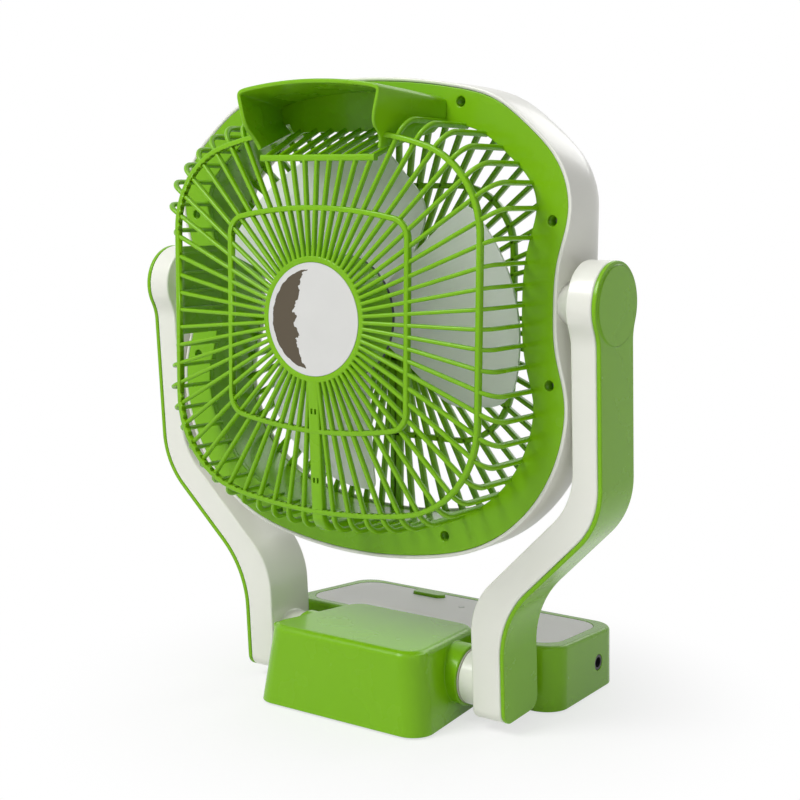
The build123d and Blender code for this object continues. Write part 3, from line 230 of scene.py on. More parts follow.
def softened(node, name, surface, body, width, steps=3, angle=32.0):
    """Copy of a CAD piece, welded, with its hard edges rounded as a moulding's are."""
    weld = 3e-6
    flat = radians(0.4)
    mesh = cad_nodes[node].data.copy()
    shape = bmesh.new()
    shape.from_mesh(mesh)
    bmesh.ops.remove_doubles(shape, verts=shape.verts, dist=weld)
    bmesh.ops.dissolve_limit(shape, angle_limit=flat, verts=shape.verts, edges=shape.edges)
    for face in shape.faces:
        face.smooth = True
        face.material_index = 0
    shape.to_mesh(mesh)
    shape.free()
    mesh.materials.clear()
    piece = placed(name, mesh, surface)
    round_edges(piece, width, steps, angle)
    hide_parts(node)
    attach(piece, body)


lime = finish("lime_gloss_plastic", (0.178, 0.428, 0.002), (0.196, 0.452, 0.004), 0.26)
shader_of(lime).inputs["Specular IOR Level"].default_value = 0.22
shader_of(lime).inputs["Coat Weight"].default_value = 0.10
shader_of(lime).inputs["Coat Roughness"].default_value = 0.07
softened("base_shell", "base_moulding", lime, "base", width=0.0004, steps=2, angle=60.0)

# Bottom cover: a flat green plate with screw pockets, on soft black pads pressed into it.
# Round-headed steel screws hold it to posts inside the shell.
rubber = finish("black_rubber_pad", (0.018, 0.018, 0.018), (0.03, 0.03, 0.03), 0.7, grain_depth=0.3)
zinc = finish("zinc_plated_steel", (0.56, 0.55, 0.52), (0.46, 0.46, 0.45), 0.32, flow=240.0, metallic=1.0)
softened("base_plate", "bottom_cover", lime, "base", width=0.0004, steps=2)
softened("base_feet", "rubber_pads", rubber, "base", width=0.0004)
softened("base_screws", "bottom_screws", zinc, "base", width=0.0003, steps=2)

# Control panel: a satin white sheet let into the deck, with a pill-shaped slot for each button.
# The green buttons and the clear indicator rod stand up through it from the board below.
warm_white = finish("warm_white_plastic", (0.775, 0.775, 0.705), (0.80, 0.80, 0.74), 0.30)
shader_of(warm_white).inputs["Coat Weight"].default_value = 0.15
shader_of(warm_white).inputs["Coat Roughness"].default_value = 0.1
satin_white = finish("satin_white_panel", (0.74, 0.735, 0.70), (0.78, 0.775, 0.745), 0.38)
clear_lens = finish("milky_lens", (0.82, 0.84, 0.80), (0.86, 0.87, 0.84), 0.28)
shader_of(clear_lens).inputs["Transmission Weight"].default_value = 0.4
softened("control_panel", "control_sheet", satin_white, "base", width=0.0004, steps=2)
softened("indicator_lens", "indicator_rod", clear_lens, "base", width=0.0003)
softened("fan_button", "fan_key", lime, "fan_button", width=0.0005)
softened("light_button", "light_key", lime, "light_button", width=0.0005)


# Electrics inside the base: lacquered boards with black switches and yellow diodes, two sealed
# batteries, a milky lamp window at the front and the black charging socket in the side wall.
def painted(node, surface):
    """Give a CAD piece that is kept its finish."""
    cad_nodes[node].data.materials.clear()
    cad_nodes[node].data.materials.append(surface)


lacquer = finish("green_board_lacquer", (0.018, 0.11, 0.04), (0.03, 0.15, 0.06), 0.4, flow=300.0)
phosphor = finish("yellow_phosphor", (0.80, 0.70, 0.25), (0.85, 0.76, 0.35), 0.5, flow=500.0)
black_moulding = finish("black_moulding", (0.016, 0.016, 0.018), (0.026, 0.026, 0.028), 0.42)
cell_skin = finish("battery_case", (0.045, 0.045, 0.05), (0.06, 0.06, 0.065), 0.5, grain_depth=0.2)
softened("lamp_lens", "lamp_window", clear_lens, "base", width=0.0004)
softened("dc_jack", "charging_socket", black_moulding, "base", width=0.0004)
painted("circuit_board", lacquer)
painted("led_board", lacquer)
painted("lamp_leds", phosphor)
painted("button_switches", black_moulding)
painted("battery_left", cell_skin)
painted("battery_right", cell_skin)

# Arms: two S-shaped shells in white plastic, open to the outside and closed by a clipped-on green cover.
# Their hubs turn on steel bolts in the base, and their upper discs carry the head.
slip_ring = finish("pale_slip_washer", (0.52, 0.50, 0.44), (0.56, 0.54, 0.48), 0.45)
for side in ("left", "right"):
    softened(f"{side}_arm_shell", f"{side}_arm", warm_white, "arms", width=0.0012)
    softened(f"{side}_arm_cover", f"{side}_arm_trim", lime, "arms", width=0.0006)
    painted(f"{side}_swing_bolt", zinc)
    painted(f"{side}_swing_nut", zinc)
    painted(f"{side}_swing_washers", slip_ring)
    painted(f"{side}_tilt_bolt", zinc)
    painted(f"{side}_tilt_washer", slip_ring)

# Head housing: a band of white plastic, moulded round the waisted square with a broad rounded front edge.
# A short boss on each side takes the tilt bolt.
lobe_half = 0.1244
waist_half = 0.1163
lobe_upper_z = 0.2725
lobe_lower_z = 0.178
corner_upper = 0.042
corner_flat = 0.025
corner_turn = radians(50.5)
shoulder_round = 0.038
corner_lower = 0.084
lobe_round = 0.030
waist_round = 0.052
crown_slope = radians(12)
sill_slope = radians(14)
arc_step = radians(2.5)
edge_steps = 180
edge_easings = 24
head_rear_y = 0.043
head_front_y = 0.003
band_out = 0.002
band_in = 0.0002
front_across = 0.013
front_run = 0.019
front_wall = 0.0025
rim_round = 0.0006
rim_steps = 3
flange_width = 0.0174
lip_inside = 0.001
opening_in = -flange_width - lip_inside
waist_run = 0.030
tilt_axis = (0, 0.03155, 0.227)
boss_radius = 0.011
boss_start = 0.1165
boss_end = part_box("left_tilt_washer")[0].x


def head_edge():
    """Points of the head's outline with their outward directions, clockwise from the crown."""
    lobe_turn = acos(1 - (lobe_half - waist_half) / (lobe_round + waist_round))
    waist_x = lobe_half - lobe_round + (lobe_round + waist_round) * cos(lobe_turn)
    waist_drop = (lobe_round + waist_round) * sin(lobe_turn)
    upper_x = lobe_half - corner_upper
    lower_x = lobe_half - corner_lower
    corner_step = corner_upper - shoulder_round
    shoulder_x = upper_x + corner_step * cos(corner_turn) - corner_flat * sin(corner_turn)
    shoulder_z = lobe_upper_z + corner_step * sin(corner_turn) + corner_flat * cos(corner_turn)
    crown_x = shoulder_x + shoulder_round * sin(crown_slope)
    crown_z = shoulder_z + shoulder_round * cos(crown_slope)
    sill_x = lower_x + corner_lower * sin(sill_slope)
    sill_z = lobe_lower_z - corner_lower * cos(sill_slope)
    level = pi / 2
    crown_end = level - crown_slope
    sill_end = level - sill_slope
    flat_step = arc_step / 6
    arcs = (
        ((0, crown_z - crown_x / tan(crown_slope)), crown_x / sin(crown_slope), level, crown_end, flat_step),
        ((shoulder_x, shoulder_z), shoulder_round, crown_end, corner_turn, arc_step),
        ((shoulder_x, shoulder_z), shoulder_round, corner_turn, corner_turn, arc_step),
        ((upper_x, lobe_upper_z), corner_upper, corner_turn, 0, arc_step),
        ((lobe_half - lobe_round, lobe_upper_z), lobe_round, 0, -lobe_turn, arc_step),
        ((waist_x, lobe_upper_z - waist_drop), waist_round, pi - lobe_turn, pi, arc_step),
        ((waist_x, lobe_lower_z + waist_drop), waist_round, pi, pi + lobe_turn, arc_step),
        ((lobe_half - lobe_round, lobe_lower_z), lobe_round, lobe_turn, 0, arc_step),
        ((lower_x, lobe_lower_z), corner_lower, 0, -sill_end, arc_step),
        ((0, sill_z + sill_x / tan(sill_slope)), sill_x / sin(sill_slope), -sill_end, -level, flat_step),
    )
    half = []
    for (x, z), radius, start, end, step in arcs:
        count = max(1, ceil(abs(end - start) / step))
        for i in range(count):
            turn = start + (end - start) * i / count
            half.append((x + radius * cos(turn), z + radius * sin(turn)))
    half.append((0, sill_z + sill_x / tan(sill_slope) - sill_x / sin(sill_slope)))
    # Even steps along the half, then its bends eased into each other
    lengths = [0.0]
    for (x1, z1), (x2, z2) in zip(half, half[1:]):
        lengths.append(lengths[-1] + hypot(x2 - x1, z2 - z1))
    even = []
    place = 0
    for i in range(edge_steps + 1):
        length = lengths[-1] * i / edge_steps
        while place < len(half) - 2 and lengths[place + 1] < length:
            place += 1
        share = (length - lengths[place]) / (lengths[place + 1] - lengths[place])
        even.append(tuple(a + (b - a) * share for a, b in zip(half[place], half[place + 1])))
    loop = even + [(-x, z) for x, z in even[-2:0:-1]]
    for easing in range(edge_easings):
        loop = [
            tuple((a + 2 * b + c) / 4 for a, b, c in zip(before, point, after))
            for before, point, after in zip(loop[-1:] + loop, loop, loop[1:] + loop[:1])
        ]
    outline = []
    for (x1, z1), (x, z), (x2, z2) in zip(loop[-1:] + loop, loop, loop[1:] + loop[:1]):
        run = hypot(x2 - x1, z2 - z1)
        across, rise = -(z2 - z1) / run, (x2 - x1) / run
        outline.append(((x, z), (across, rise)))
    return outline


edge_points = head_edge()
waist_z = (lobe_upper_z + lobe_lower_z) / 2
upper_lobe = max(point for point, out in edge_points if point[1] > waist_z)
lower_lobe = max(point for point, out in edge_points if point[1] < waist_z)


def woven(name, rows, surface, closed=True):
    """Mesh of quads over a table of points, whose rows and columns may close on themselves."""
    same_point = 1e-7
    width = len(rows[0])
    depth = len(rows)
    faces = []
    for row in range(depth if closed else depth - 1):
        for column in range(width if closed else width - 1):
            after, beside = (row + 1) % depth, (column + 1) % width
            faces.append((
                row * width + column, row * width + beside, after * width + beside, after * width + column,
            ))
    mesh = bpy.data.meshes.new(name)
    mesh.from_pydata([point for row in rows for point in row], [], faces)
    shape = bmesh.new()
    shape.from_mesh(mesh)
    bmesh.ops.remove_doubles(shape, verts=shape.verts, dist=same_point)
    bmesh.ops.recalc_face_normals(shape, faces=shape.faces)
    for face in shape.faces:
        face.smooth = True
    shape.to_mesh(mesh)
    shape.free()
    return placed(name, mesh, surface)


def round_the_head(name, section, surface, waist_fill=0.0):
    """Band that carries a section, given as offsets outwards and depths, round the head's outline.
    Towards its front it may fill a share of the waist."""
    rows = []
    for (x, z), (across, rise) in edge_points:
        share = (z - lower_lobe[1]) / (upper_lobe[1] - lower_lobe[1])
        chord_x = lower_lobe[0] + (upper_lobe[0] - lower_lobe[0]) * share
        hollow = chord_x - abs(x) if 0 < share < 1 else 0.0
        row = []
        for out, y in section:
            forward = min(max((head_rear_y - y) / waist_run, 0.0), 1.0)
            outward = min(max(1 + out / flange_width, 0.0), 1.0)
            swell = waist_fill * hollow * forward * outward * (1 if x > 0 else -1)
            row.append((x + across * out + swell, y, z + rise * out))
        rows.append(row)
    return woven(name, rows, surface)


def quarter(out, y, radius, start, steps):
    """Quarter round of a section about a centre, anticlockwise from a quadrant."""
    return [
        (out + radius * cos(pi / 2 * (start + i / steps)), y + radius * sin(pi / 2 * (start + i / steps)))
        for i in range(steps + 1)
    ]


def turned(name, section, centre, along, surface, sides=72):
    """Solid of revolution from radii and places along an axis; the section closes on itself."""
    axis = Vector(along)
    across = axis.orthogonal().normalized()
    beside = axis.cross(across)
    rows = []
    for i in range(sides):
        out = cos(2 * pi * i / sides) * across + sin(2 * pi * i / sides) * beside
        rows.append([tuple(Vector(centre) + radius * out + place * axis) for radius, place in section])
    return woven(name, rows, surface)


def joined(name, *pieces):
    """One piece from several meshes."""
    shape = bmesh.new()
    for piece in pieces:
        shape.from_mesh(piece.data)
    mesh = bpy.data.meshes.new(name)
    shape.to_mesh(mesh)
    shape.free()
    whole = placed(name, mesh, pieces[0].data.materials[0])
    for piece in pieces:
        bpy.data.objects.remove(piece)
    return whole


inside_y = head_front_y + front_wall
inside_across = front_across - band_out
inside_run = front_run - front_wall
front_bend = quarter(0, 0, 1, start=3, steps=14)
band_section = (
    quarter(band_out - rim_round, head_rear_y - rim_round, rim_round, start=0, steps=rim_steps)[::-1]
    + [(band_out - front_across * (1 - out), head_front_y + front_run * (1 + y)) for out, y in front_bend[::-1]]
    + quarter(opening_in + rim_round, head_front_y + rim_round, rim_round, start=2, steps=rim_steps)[::-1]
    + [(opening_in, inside_y)]
    + [(band_in - inside_across * (1 - out), inside_y + inside_run * (1 + y)) for out, y in front_bend]
    + [(band_in, head_rear_y)]
)
band = round_the_head("band", band_section, warm_white, waist_fill=1.0)
boss_section = (
    [(0, boss_start), (0, boss_end)]
    + quarter(boss_radius - rim_round, boss_end - rim_round, rim_round, start=0, steps=rim_steps)[::-1]
    + [(boss_radius, boss_start)]
)
bosses = [turned("boss", boss_section, tilt_axis, (side, 0, 0), warm_white) for side in (-1, 1)]
head_band = joined("head_band", band, *bosses)
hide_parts("housing")
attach(head_band, "head")


# Front guard: straight green ribs from a plain hub to a duct, with one rounded square ring and a wide
# spine below the hub. It is one moulding, trapped between the housing and the rear flange.
def rod_maker():
    """Node tree that sweeps a rounded bar along each path of a mesh of edges."""
    tree = bpy.data.node_groups.new("guard_rods", "GeometryNodeTree")
    tree.interface.new_socket("Paths", in_out="INPUT", socket_type="NodeSocketGeometry")
    sockets = {}
    for socket, kind in (
        ("Rod Width", "Float"), ("Rod Depth", "Float"), ("Edge Round", "Float"), ("Bend Radius", "Float"),
        ("Bend Steps", "Int"), ("Plastic", "Material"),
    ):
        made = tree.interface.new_socket(socket, in_out="INPUT", socket_type=f"NodeSocket{kind}")
        sockets[socket] = made.identifier
    tree.interface.new_socket("Rods", in_out="OUTPUT", socket_type="NodeSocketGeometry")
    start = tree.nodes.new("NodeGroupInput")
    end = tree.nodes.new("NodeGroupOutput")
    line = tree.nodes.new("GeometryNodeMeshToCurve")
    bend = tree.nodes.new("GeometryNodeFilletCurve")
    bend.mode = "POLY"
    bend.inputs["Limit Radius"].default_value = True
    facing = tree.nodes.new("GeometryNodeInputNamedAttribute")
    facing.data_type = "FLOAT_VECTOR"
    facing.inputs["Name"].default_value = "rod_side"
    upright = tree.nodes.new("GeometryNodeSetCurveNormal")
    upright.mode = "FREE"
    bar = tree.nodes.new("GeometryNodeCurvePrimitiveQuadrilateral")
    bar_round = tree.nodes.new("GeometryNodeFilletCurve")
    bar_round.mode = "POLY"
    bar_round.inputs["Count"].default_value = 2
    bar_round.inputs["Limit Radius"].default_value = True
    sweep = tree.nodes.new("GeometryNodeCurveToMesh")
    sweep.inputs["Fill Caps"].default_value = True
    smooth = tree.nodes.new("GeometryNodeSetShadeSmooth")
    real = tree.nodes.new("GeometryNodeRealizeInstances")
    paint = tree.nodes.new("GeometryNodeSetMaterial")
    for out, into in (
        (start.outputs["Paths"], line.inputs["Mesh"]),
        (line.outputs["Curve"], bend.inputs["Curve"]),
        (start.outputs["Bend Steps"], bend.inputs["Count"]),
        (start.outputs["Bend Radius"], bend.inputs["Radius"]),
        (bend.outputs["Curve"], upright.inputs["Curve"]),
        (facing.outputs["Attribute"], upright.inputs["Normal"]),
        (start.outputs["Rod Width"], bar.inputs["Width"]),
        (start.outputs["Rod Depth"], bar.inputs["Height"]),
        (bar.outputs["Curve"], bar_round.inputs["Curve"]),
        (start.outputs["Edge Round"], bar_round.inputs["Radius"]),
        (upright.outputs["Curve"], sweep.inputs["Curve"]),
        (bar_round.outputs["Curve"], sweep.inputs["Profile Curve"]),
        (sweep.outputs["Mesh"], smooth.inputs["Geometry"]),
        (smooth.outputs["Geometry"], real.inputs["Geometry"]),
        (real.outputs["Geometry"], paint.inputs["Geometry"]),
        (start.outputs["Plastic"], paint.inputs["Material"]),
        (paint.outputs["Geometry"], end.inputs["Rods"]),
    ):
        tree.links.new(out, into)
    return tree, sockets


rod_tree, rod_sockets = rod_maker()
rod_edge = 0.0007


def rods(name, paths, width, depth, bend=0.0, steps=8):
    """Bars along paths; each path has its points, the direction across each bar, and whether it closes."""
    points, edges, sides = [], [], []
    for path, across, closes in paths:
        first = len(points)
        points += path
        sides += [across] * len(path)
        edges += [(first + i, first + i + 1) for i in range(len(path) - 1)]
        if closes:
            edges.append((len(points) - 1, first))
    mesh = bpy.data.meshes.new(name)
    mesh.from_pydata(points, edges, [])
    attribute = mesh.attributes.new("rod_side", "FLOAT_VECTOR", "POINT")
    attribute.data.foreach_set("vector", [share for across in sides for share in across])
    piece = bpy.data.objects.new(name, mesh)
    scene.collection.objects.link(piece)
    maker = piece.modifiers.new("rods", "NODES")
    maker.node_group = rod_tree
    for socket, value in (
        ("Rod Width", width), ("Rod Depth", depth), ("Edge Round", rod_edge), ("Bend Radius", bend),
        ("Bend Steps", steps), ("Plastic", lime),
    ):
        maker[rod_sockets[socket]] = value
    return settle(piece)


fan_axis_z = 0.216
rib_count = 64
opening_loop = [(x - across * flange_width, z - rise * flange_width) for (x, z), (across, rise) in edge_points]


def opening_reach(angle):
    """Distance from the fan's axis to the edge of the opening, in one direction."""
    out_x, out_z = cos(angle), sin(angle)
    reach = 0.0
    for (x1, z1), (x2, z2) in zip(opening_loop, opening_loop[1:] + opening_loop[:1]):
        z1, z2 = z1 - fan_axis_z, z2 - fan_axis_z
        side1, side2 = out_x * z1 - out_z * x1, out_x * z2 - out_z * x2
        if side1 * side2 <= 0 and side1 != side2:
            share = side1 / (side1 - side2)
            x, z = x1 + (x2 - x1) * share, z1 + (z2 - z1) * share
            if out_x * x + out_z * z > 0:
                reach = max(reach, hypot(x, z))
    return reach


def at(angle, reach, y):
    """Point at a distance from the fan's axis, in one direction and at one depth."""
    return (reach * cos(angle), y, fan_axis_z + reach * sin(angle))


rib_turns = [2 * pi * i / rib_count for i in range(rib_count)]
grille_low_y, grille_high_y = 0.0055, 0.0095
grille_mid_y = (grille_low_y + grille_high_y) / 2
grille_depth = grille_high_y - grille_low_y
grille_hub = 0.027
hub_lap = 0.002
grille_rib_width = 0.0024
grille_ring_half = (0.0745, 0.069)
grille_ring_corner = 0.034
grille_ring_width = 0.003
spine_width = 0.007
duct_wall = 0.002
flange_front_y = 0.040


def straight(turn):
    """Path of one front rib, from inside the hub to the middle of the duct's wall."""
    return (
        [at(turn, grille_hub - hub_lap, grille_mid_y), at(turn, opening_reach(turn) + duct_wall / 2, grille_mid_y)],
        (-sin(turn), 0, cos(turn)), False,
    )


front_paths = [straight(turn) for turn in rib_turns]
front_ribs = rods("front_ribs", front_paths, grille_rib_width, grille_depth)
half_x, half_z = (half - grille_ring_width / 2 for half in grille_ring_half)
front_ring_path = [
    (x * half_x, grille_mid_y, fan_axis_z + z * half_z) for x, z in ((1, 1), (-1, 1), (-1, -1), (1, -1))
]
front_ring = rods(
    "front_ring", [(front_ring_path, (0, 1, 0), True)], grille_depth, grille_ring_width,
    bend=grille_ring_corner, steps=14,
)
front_spine = rods("front_spine", [straight(-pi / 2)], spine_width, grille_depth)
hub_dome = 0.0012
hub_setback = 0.0008
hub_face_y = grille_low_y + hub_setback
dome_shares = (0.3, 0.55, 0.75, 0.9, 0.97)
hub_section = (
    [(0, grille_high_y), (0, hub_face_y - hub_dome)]
    + [(grille_hub * share, hub_face_y - hub_dome * (1 - share ** 4)) for share in dome_shares]
    + quarter(grille_hub - rim_round, hub_face_y + rim_round, rim_round, start=3, steps=rim_steps)
    + [(grille_hub, grille_high_y)]
)
front_hub = turned("front_hub", hub_section, (0, 0, fan_axis_z), (0, 1, 0), lime)
duct_section = [
    (-flange_width + duct_wall, grille_low_y), (-flange_width + duct_wall, flange_front_y),
    (-flange_width, flange_front_y), (-flange_width, grille_low_y),
]
duct = round_edges(round_the_head("duct", duct_section, lime), width=0.0004, steps=2)
front_guard = joined("front_guard", front_ribs, front_ring, front_spine, front_hub, duct)
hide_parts("front_grille")
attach(front_guard, "head")

# Rear guard: one green moulding, whose ribs rise from a flange, bend and run in to the motor cup, tied by
# two rounded square rings. The flange is screwed to the housing through eight deep wells.
cage_y = 0.0825
cage_dome = 0.055
cup_radius = 0.0321
cup_lap = 0.001
rib_width = 0.0020
rib_depth = 0.0030
rib_bend = 0.0085
handle_bend = 0.004
rib_root = 0.0016
handle_half_turn = radians(23)
chord_rise = 0.0825
rail_rise = 0.095


def cage_rear(reach):
    """Rear edge of the ribs at a distance from the axis."""
    return cage_y - cage_dome * (reach - cup_radius)


def bent(turn, foot, corner, depth=rib_depth):
    """Path of one rib down its middle, from its foot past its bend to the motor cup."""
    sunk = depth / 2
    end = cup_radius - cup_lap
    return (
        [at(turn, foot - sunk, flange_front_y), at(turn, corner - sunk, cage_rear(corner) - sunk),
         at(turn, end, cage_rear(end) - sunk)],
        (-sin(turn), 0, cos(turn)), False,
    )


channel_place = rib_count * 3 // 4
cage_paths, handle_paths = [], []
for place, turn in enumerate(rib_turns):
    if abs(turn - pi / 2) < handle_half_turn:
        handle_paths.append(bent(turn, (rail_rise + rib_depth) / sin(turn), chord_rise / sin(turn)))
    elif place != channel_place:
        reach = opening_reach(turn) + rib_root
        cage_paths.append(bent(turn, reach, reach))
cage_ribs = rods("cage_ribs", cage_paths, rib_width, rib_depth, rib_bend)
handle_ribs = rods("handle_ribs", handle_paths, rib_width, rib_depth, handle_bend)
handle_spread = max(abs(turn - pi / 2) for turn in rib_turns if abs(turn - pi / 2) < handle_half_turn)
chord_half = chord_rise * tan(handle_spread) + rib_width
chord_depth = 0.0034
chord_y = cage_rear(chord_rise) - chord_depth / 2
chord_z = fan_axis_z + chord_rise - chord_depth / 2
chord_bar = rods(
    "chord_bar", [([(-chord_half, chord_y, chord_z), (chord_half, chord_y, chord_z)], (0, 1, 0), False)],
    chord_depth, chord_depth,
)

ring_width = 0.0028
ring_depth = 0.0036
outer_half = 0.0963
outer_ends = ((0.0954, 0.045, radians(16)), (0.0995, 0.050, radians(10)))
inner_half = 0.0565
inner_ends = ((0.0560, 0.010, radians(11)), (0.0573, 0.010, radians(11)))
hood_gap = 0.0415
bow_steps = 14


def bowed_ring(half, ends, y, gap):
    """Path of a square with rounded corners and bowed ends, clockwise; a gap leaves its top open."""
    path = []
    for side, up in ((1, 1), (1, -1), (-1, -1), (-1, 1)):
        reach, corner, slope = ends[0] if up > 0 else ends[1]
        bow_x = half - corner + corner * sin(slope)
        bow = bow_x / sin(slope)
        corner_z = reach - bow_x * tan(slope / 2) - corner * cos(slope)
        first = asin(gap / bow) if up > 0 else 0.0
        line = [
            (bow * sin(turn), reach - bow + bow * cos(turn))
            for turn in (first + (slope - first) * i / bow_steps for i in range(bow_steps))
        ] + [
            (half - corner + corner * sin(turn), corner_z + corner * cos(turn))
            for turn in (slope + (pi / 2 - slope) * i / bow_steps for i in range(bow_steps + 1))
        ]
        if side < 0 and first == 0.0:
            line = line[1:]
        if side != up:
            line.reverse()
        path += [(side * x, y, fan_axis_z + up * z) for x, z in line]
    return path


outer_path = bowed_ring(outer_half, outer_ends, cage_rear(outer_half) - ring_depth / 2, hood_gap)
inner_path = bowed_ring(inner_half, inner_ends, cage_rear(inner_half) - ring_depth / 2, 0.0)
ring_ease = 0.0003
outer_ring = rods("outer_ring", [(outer_path, (0, 1, 0), False)], ring_depth, ring_width, ring_ease, steps=1)
inner_ring = rods("inner_ring", [(inner_path, (0, 1, 0), True)], ring_depth, ring_width, ring_ease, steps=1)

channel_width = 0.007
channel_depth = 0.0044
channel_reach = opening_reach(-pi / 2) + rib_root
channel = rods(
    "wire_channel", [bent(-pi / 2, channel_reach, channel_reach, channel_depth)],
    channel_width, channel_depth, rib_bend,
)


def cut(piece, *tools):
    """Cut holes in a piece with closed tools, which are used up."""
    for tool in tools:
        cutter = piece.modifiers.new("cutter", "BOOLEAN")
        cutter.object = tool
        cutter.operation = "DIFFERENCE"
        cutter.solver = "EXACT"
    settle(piece)
    for tool in tools:
        bpy.data.objects.remove(tool)


def block(name, low, high, surface):
    """Plain cutting block between two corners."""
    shape = bmesh.new()
    bmesh.ops.create_cube(shape, size=1.0)
    middle = (Vector(low) + Vector(high)) / 2
    size = Vector(high) - Vector(low)
    for vert in shape.verts:
        vert.co = Vector(a * b for a, b in zip(vert.co, size)) + middle
    mesh = bpy.data.meshes.new(name)
    shape.to_mesh(mesh)
    shape.free()
    return placed(name, mesh, surface)


slot_half = 0.00065
slot_half_length = 0.0014
slot_spread = 0.0012
slot_drops = (0.047, 0.083)
slot_depth = 0.010
slot_clear = 0.001
slot_tools = []
for drop in slot_drops:
    for side in (-1, 1):
        slot_tools.append(block(
            "slot_tool",
            (side * slot_spread - slot_half, cage_y - slot_depth, fan_axis_z - drop - slot_half_length),
            (side * slot_spread + slot_half, cage_y + slot_clear, fan_axis_z - drop + slot_half_length), lime,
        ))
cut(channel, *slot_tools)

flange_thick = 0.003
rail_half = 0.046
rail_z = fan_axis_z + rail_rise
well_radius = 0.0026
well_depth = 0.0095
well_sides = 24
screw_apart = 0.008
screw_mesh = cad_nodes["cover_screws"].data
screw_spots = []
for vert in screw_mesh.vertices:
    spot = (vert.co.x, vert.co.z)
    near = [group for group in screw_spots if hypot(group[0][0] - spot[0], group[0][1] - spot[1]) < screw_apart]
    if near:
        near[0].append(spot)
    else:
        screw_spots.append([spot])
well_places = [tuple((min(places) + max(places)) / 2 for places in zip(*group)) for group in screw_spots]
flange_shape = bmesh.new()
inner_loop = [(x, rail_z if abs(x) < rail_half and z > rail_z else z) for x, z in opening_loop]
loops = [[point for point, out in edge_points], inner_loop] + [
    [(x + well_radius * cos(2 * pi * i / well_sides), z + well_radius * sin(2 * pi * i / well_sides))
     for i in range(well_sides)]
    for x, z in well_places
]
for loop in loops:
    corners = [flange_shape.verts.new((x, head_rear_y, z)) for x, z in loop]
    for a, b in zip(corners, corners[1:] + corners[:1]):
        flange_shape.edges.new((a, b))
bmesh.ops.triangle_fill(flange_shape, use_beauty=True, use_dissolve=False, edges=flange_shape.edges[:])
sheet_faces = flange_shape.faces[:]
grown = bmesh.ops.extrude_face_region(flange_shape, geom=sheet_faces)
for item in grown["geom"]:
    if isinstance(item, bmesh.types.BMVert):
        item.co.y -= flange_thick
bmesh.ops.recalc_face_normals(flange_shape, faces=flange_shape.faces)
for face in flange_shape.faces:
    face.smooth = True
flange_mesh = bpy.data.meshes.new("flange")
flange_shape.to_mesh(flange_mesh)
flange_shape.free()
flange = round_edges(placed("flange", flange_mesh, lime), width=0.0005, steps=2)
tube_radius = 0.0044
tube_length = 0.012
screw_hole = 0.0017
well_floor_y = head_rear_y - well_depth
tube_front_y = head_rear_y - tube_length
tube_rear_y = head_rear_y - flange_thick / 2
tube_section = [
    (well_radius, tube_rear_y), (tube_radius, tube_rear_y), (tube_radius, tube_front_y),
    (screw_hole, tube_front_y), (screw_hole, well_floor_y), (well_radius, well_floor_y),
]
tubes = [turned("tube", tube_section, (x, 0, z), (0, 1, 0), lime, sides=well_sides) for x, z in well_places]

cup_depth = 0.025
cup_wall = 0.002
cup_round = 0.0008
label_radius = 0.029
label_recess = 0.0006
seat_lip = 0.0002
cup_front_y = cage_y - cup_depth
seat_y = cage_y - label_recess
cup_floor = seat_y - cup_wall
cup_inside = cup_radius - cup_wall
cup_section = (
    [(0, seat_y), (label_radius, seat_y), (label_radius, cage_y - seat_lip)]
    + quarter(cup_radius - cup_round, cage_y - cup_round, cup_round, start=0, steps=4)[::-1]
    + [(cup_radius, cup_front_y), (cup_inside, cup_front_y), (cup_inside, cup_floor), (0, cup_floor)]
)
cup = turned("cup", cup_section, (0, 0, fan_axis_z), (0, 1, 0), lime, sides=96)
round_edges(cup, width=0.0003, steps=2)

web_fall, web_rise = 0.014, 0.034
web_low_z, web_high_z = fan_axis_z - web_fall, fan_axis_z + web_rise
web_thick = 0.0016
web_x = waist_half - flange_width + rib_root - web_thick / 2
web_rear_y = cage_rear(web_x) - web_thick / 2
web_steps = 24
web_turn = radians(63)
web_turn_steps = 7
web_line = [(web_x, flange_front_y)] + [
    (web_x - rib_bend + rib_bend * cos(turn), web_rear_y - rib_bend + rib_bend * sin(turn))
    for turn in (web_turn * i / web_turn_steps for i in range(web_turn_steps + 1))
]
web_rows = []
for step in range(web_steps + 1):
    z = web_low_z + (web_high_z - web_low_z) * step / web_steps
    web_rows.append([(x, y, z) for x, y in web_line])
web = woven("web", web_rows, lime, closed=False)
web_wall = web.modifiers.new("wall", "SOLIDIFY")
web_wall.thickness = web_thick
web_wall.offset = 0
round_edges(web, width=0.0004, steps=2)

rear_guard = joined(
    "rear_guard", flange, cage_ribs, handle_ribs, chord_bar, outer_ring, inner_ring, channel, cup, web, *tubes,
)
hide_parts("rear_grille")
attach(rear_guard, "head")
softened("cover_screws", "flange_screws", zinc, "head", width=0.0003, steps=2)

# Carry handle: a thin green plastic hood over the top of the guard, open to the rear and below, so that
# fingers reach in under its crown. It is moulded in one with the rear guard.
hood_wall = 0.0022
hood_root_y = head_rear_y
hood_mouth_y = 0.0878
mouth_edge = (
    (0.290, 0.0775), (0.2990, 0.0779), (0.3030, 0.0787), (0.3060, 0.0803), (0.3085, 0.0828),
    (0.3110, 0.0855), (0.3140, 0.0871), (0.3180, hood_mouth_y), (0.360, hood_mouth_y),
)


def mouth_y(height):
    """Depth at which the hood's sides end: they run forward below and meet the outer ring."""
    for (low, low_y), (high, high_y) in zip(mouth_edge, mouth_edge[1:]):
        if low <= height <= high:
            return low_y + (high_y - low_y) * (height - low) / (high - low)


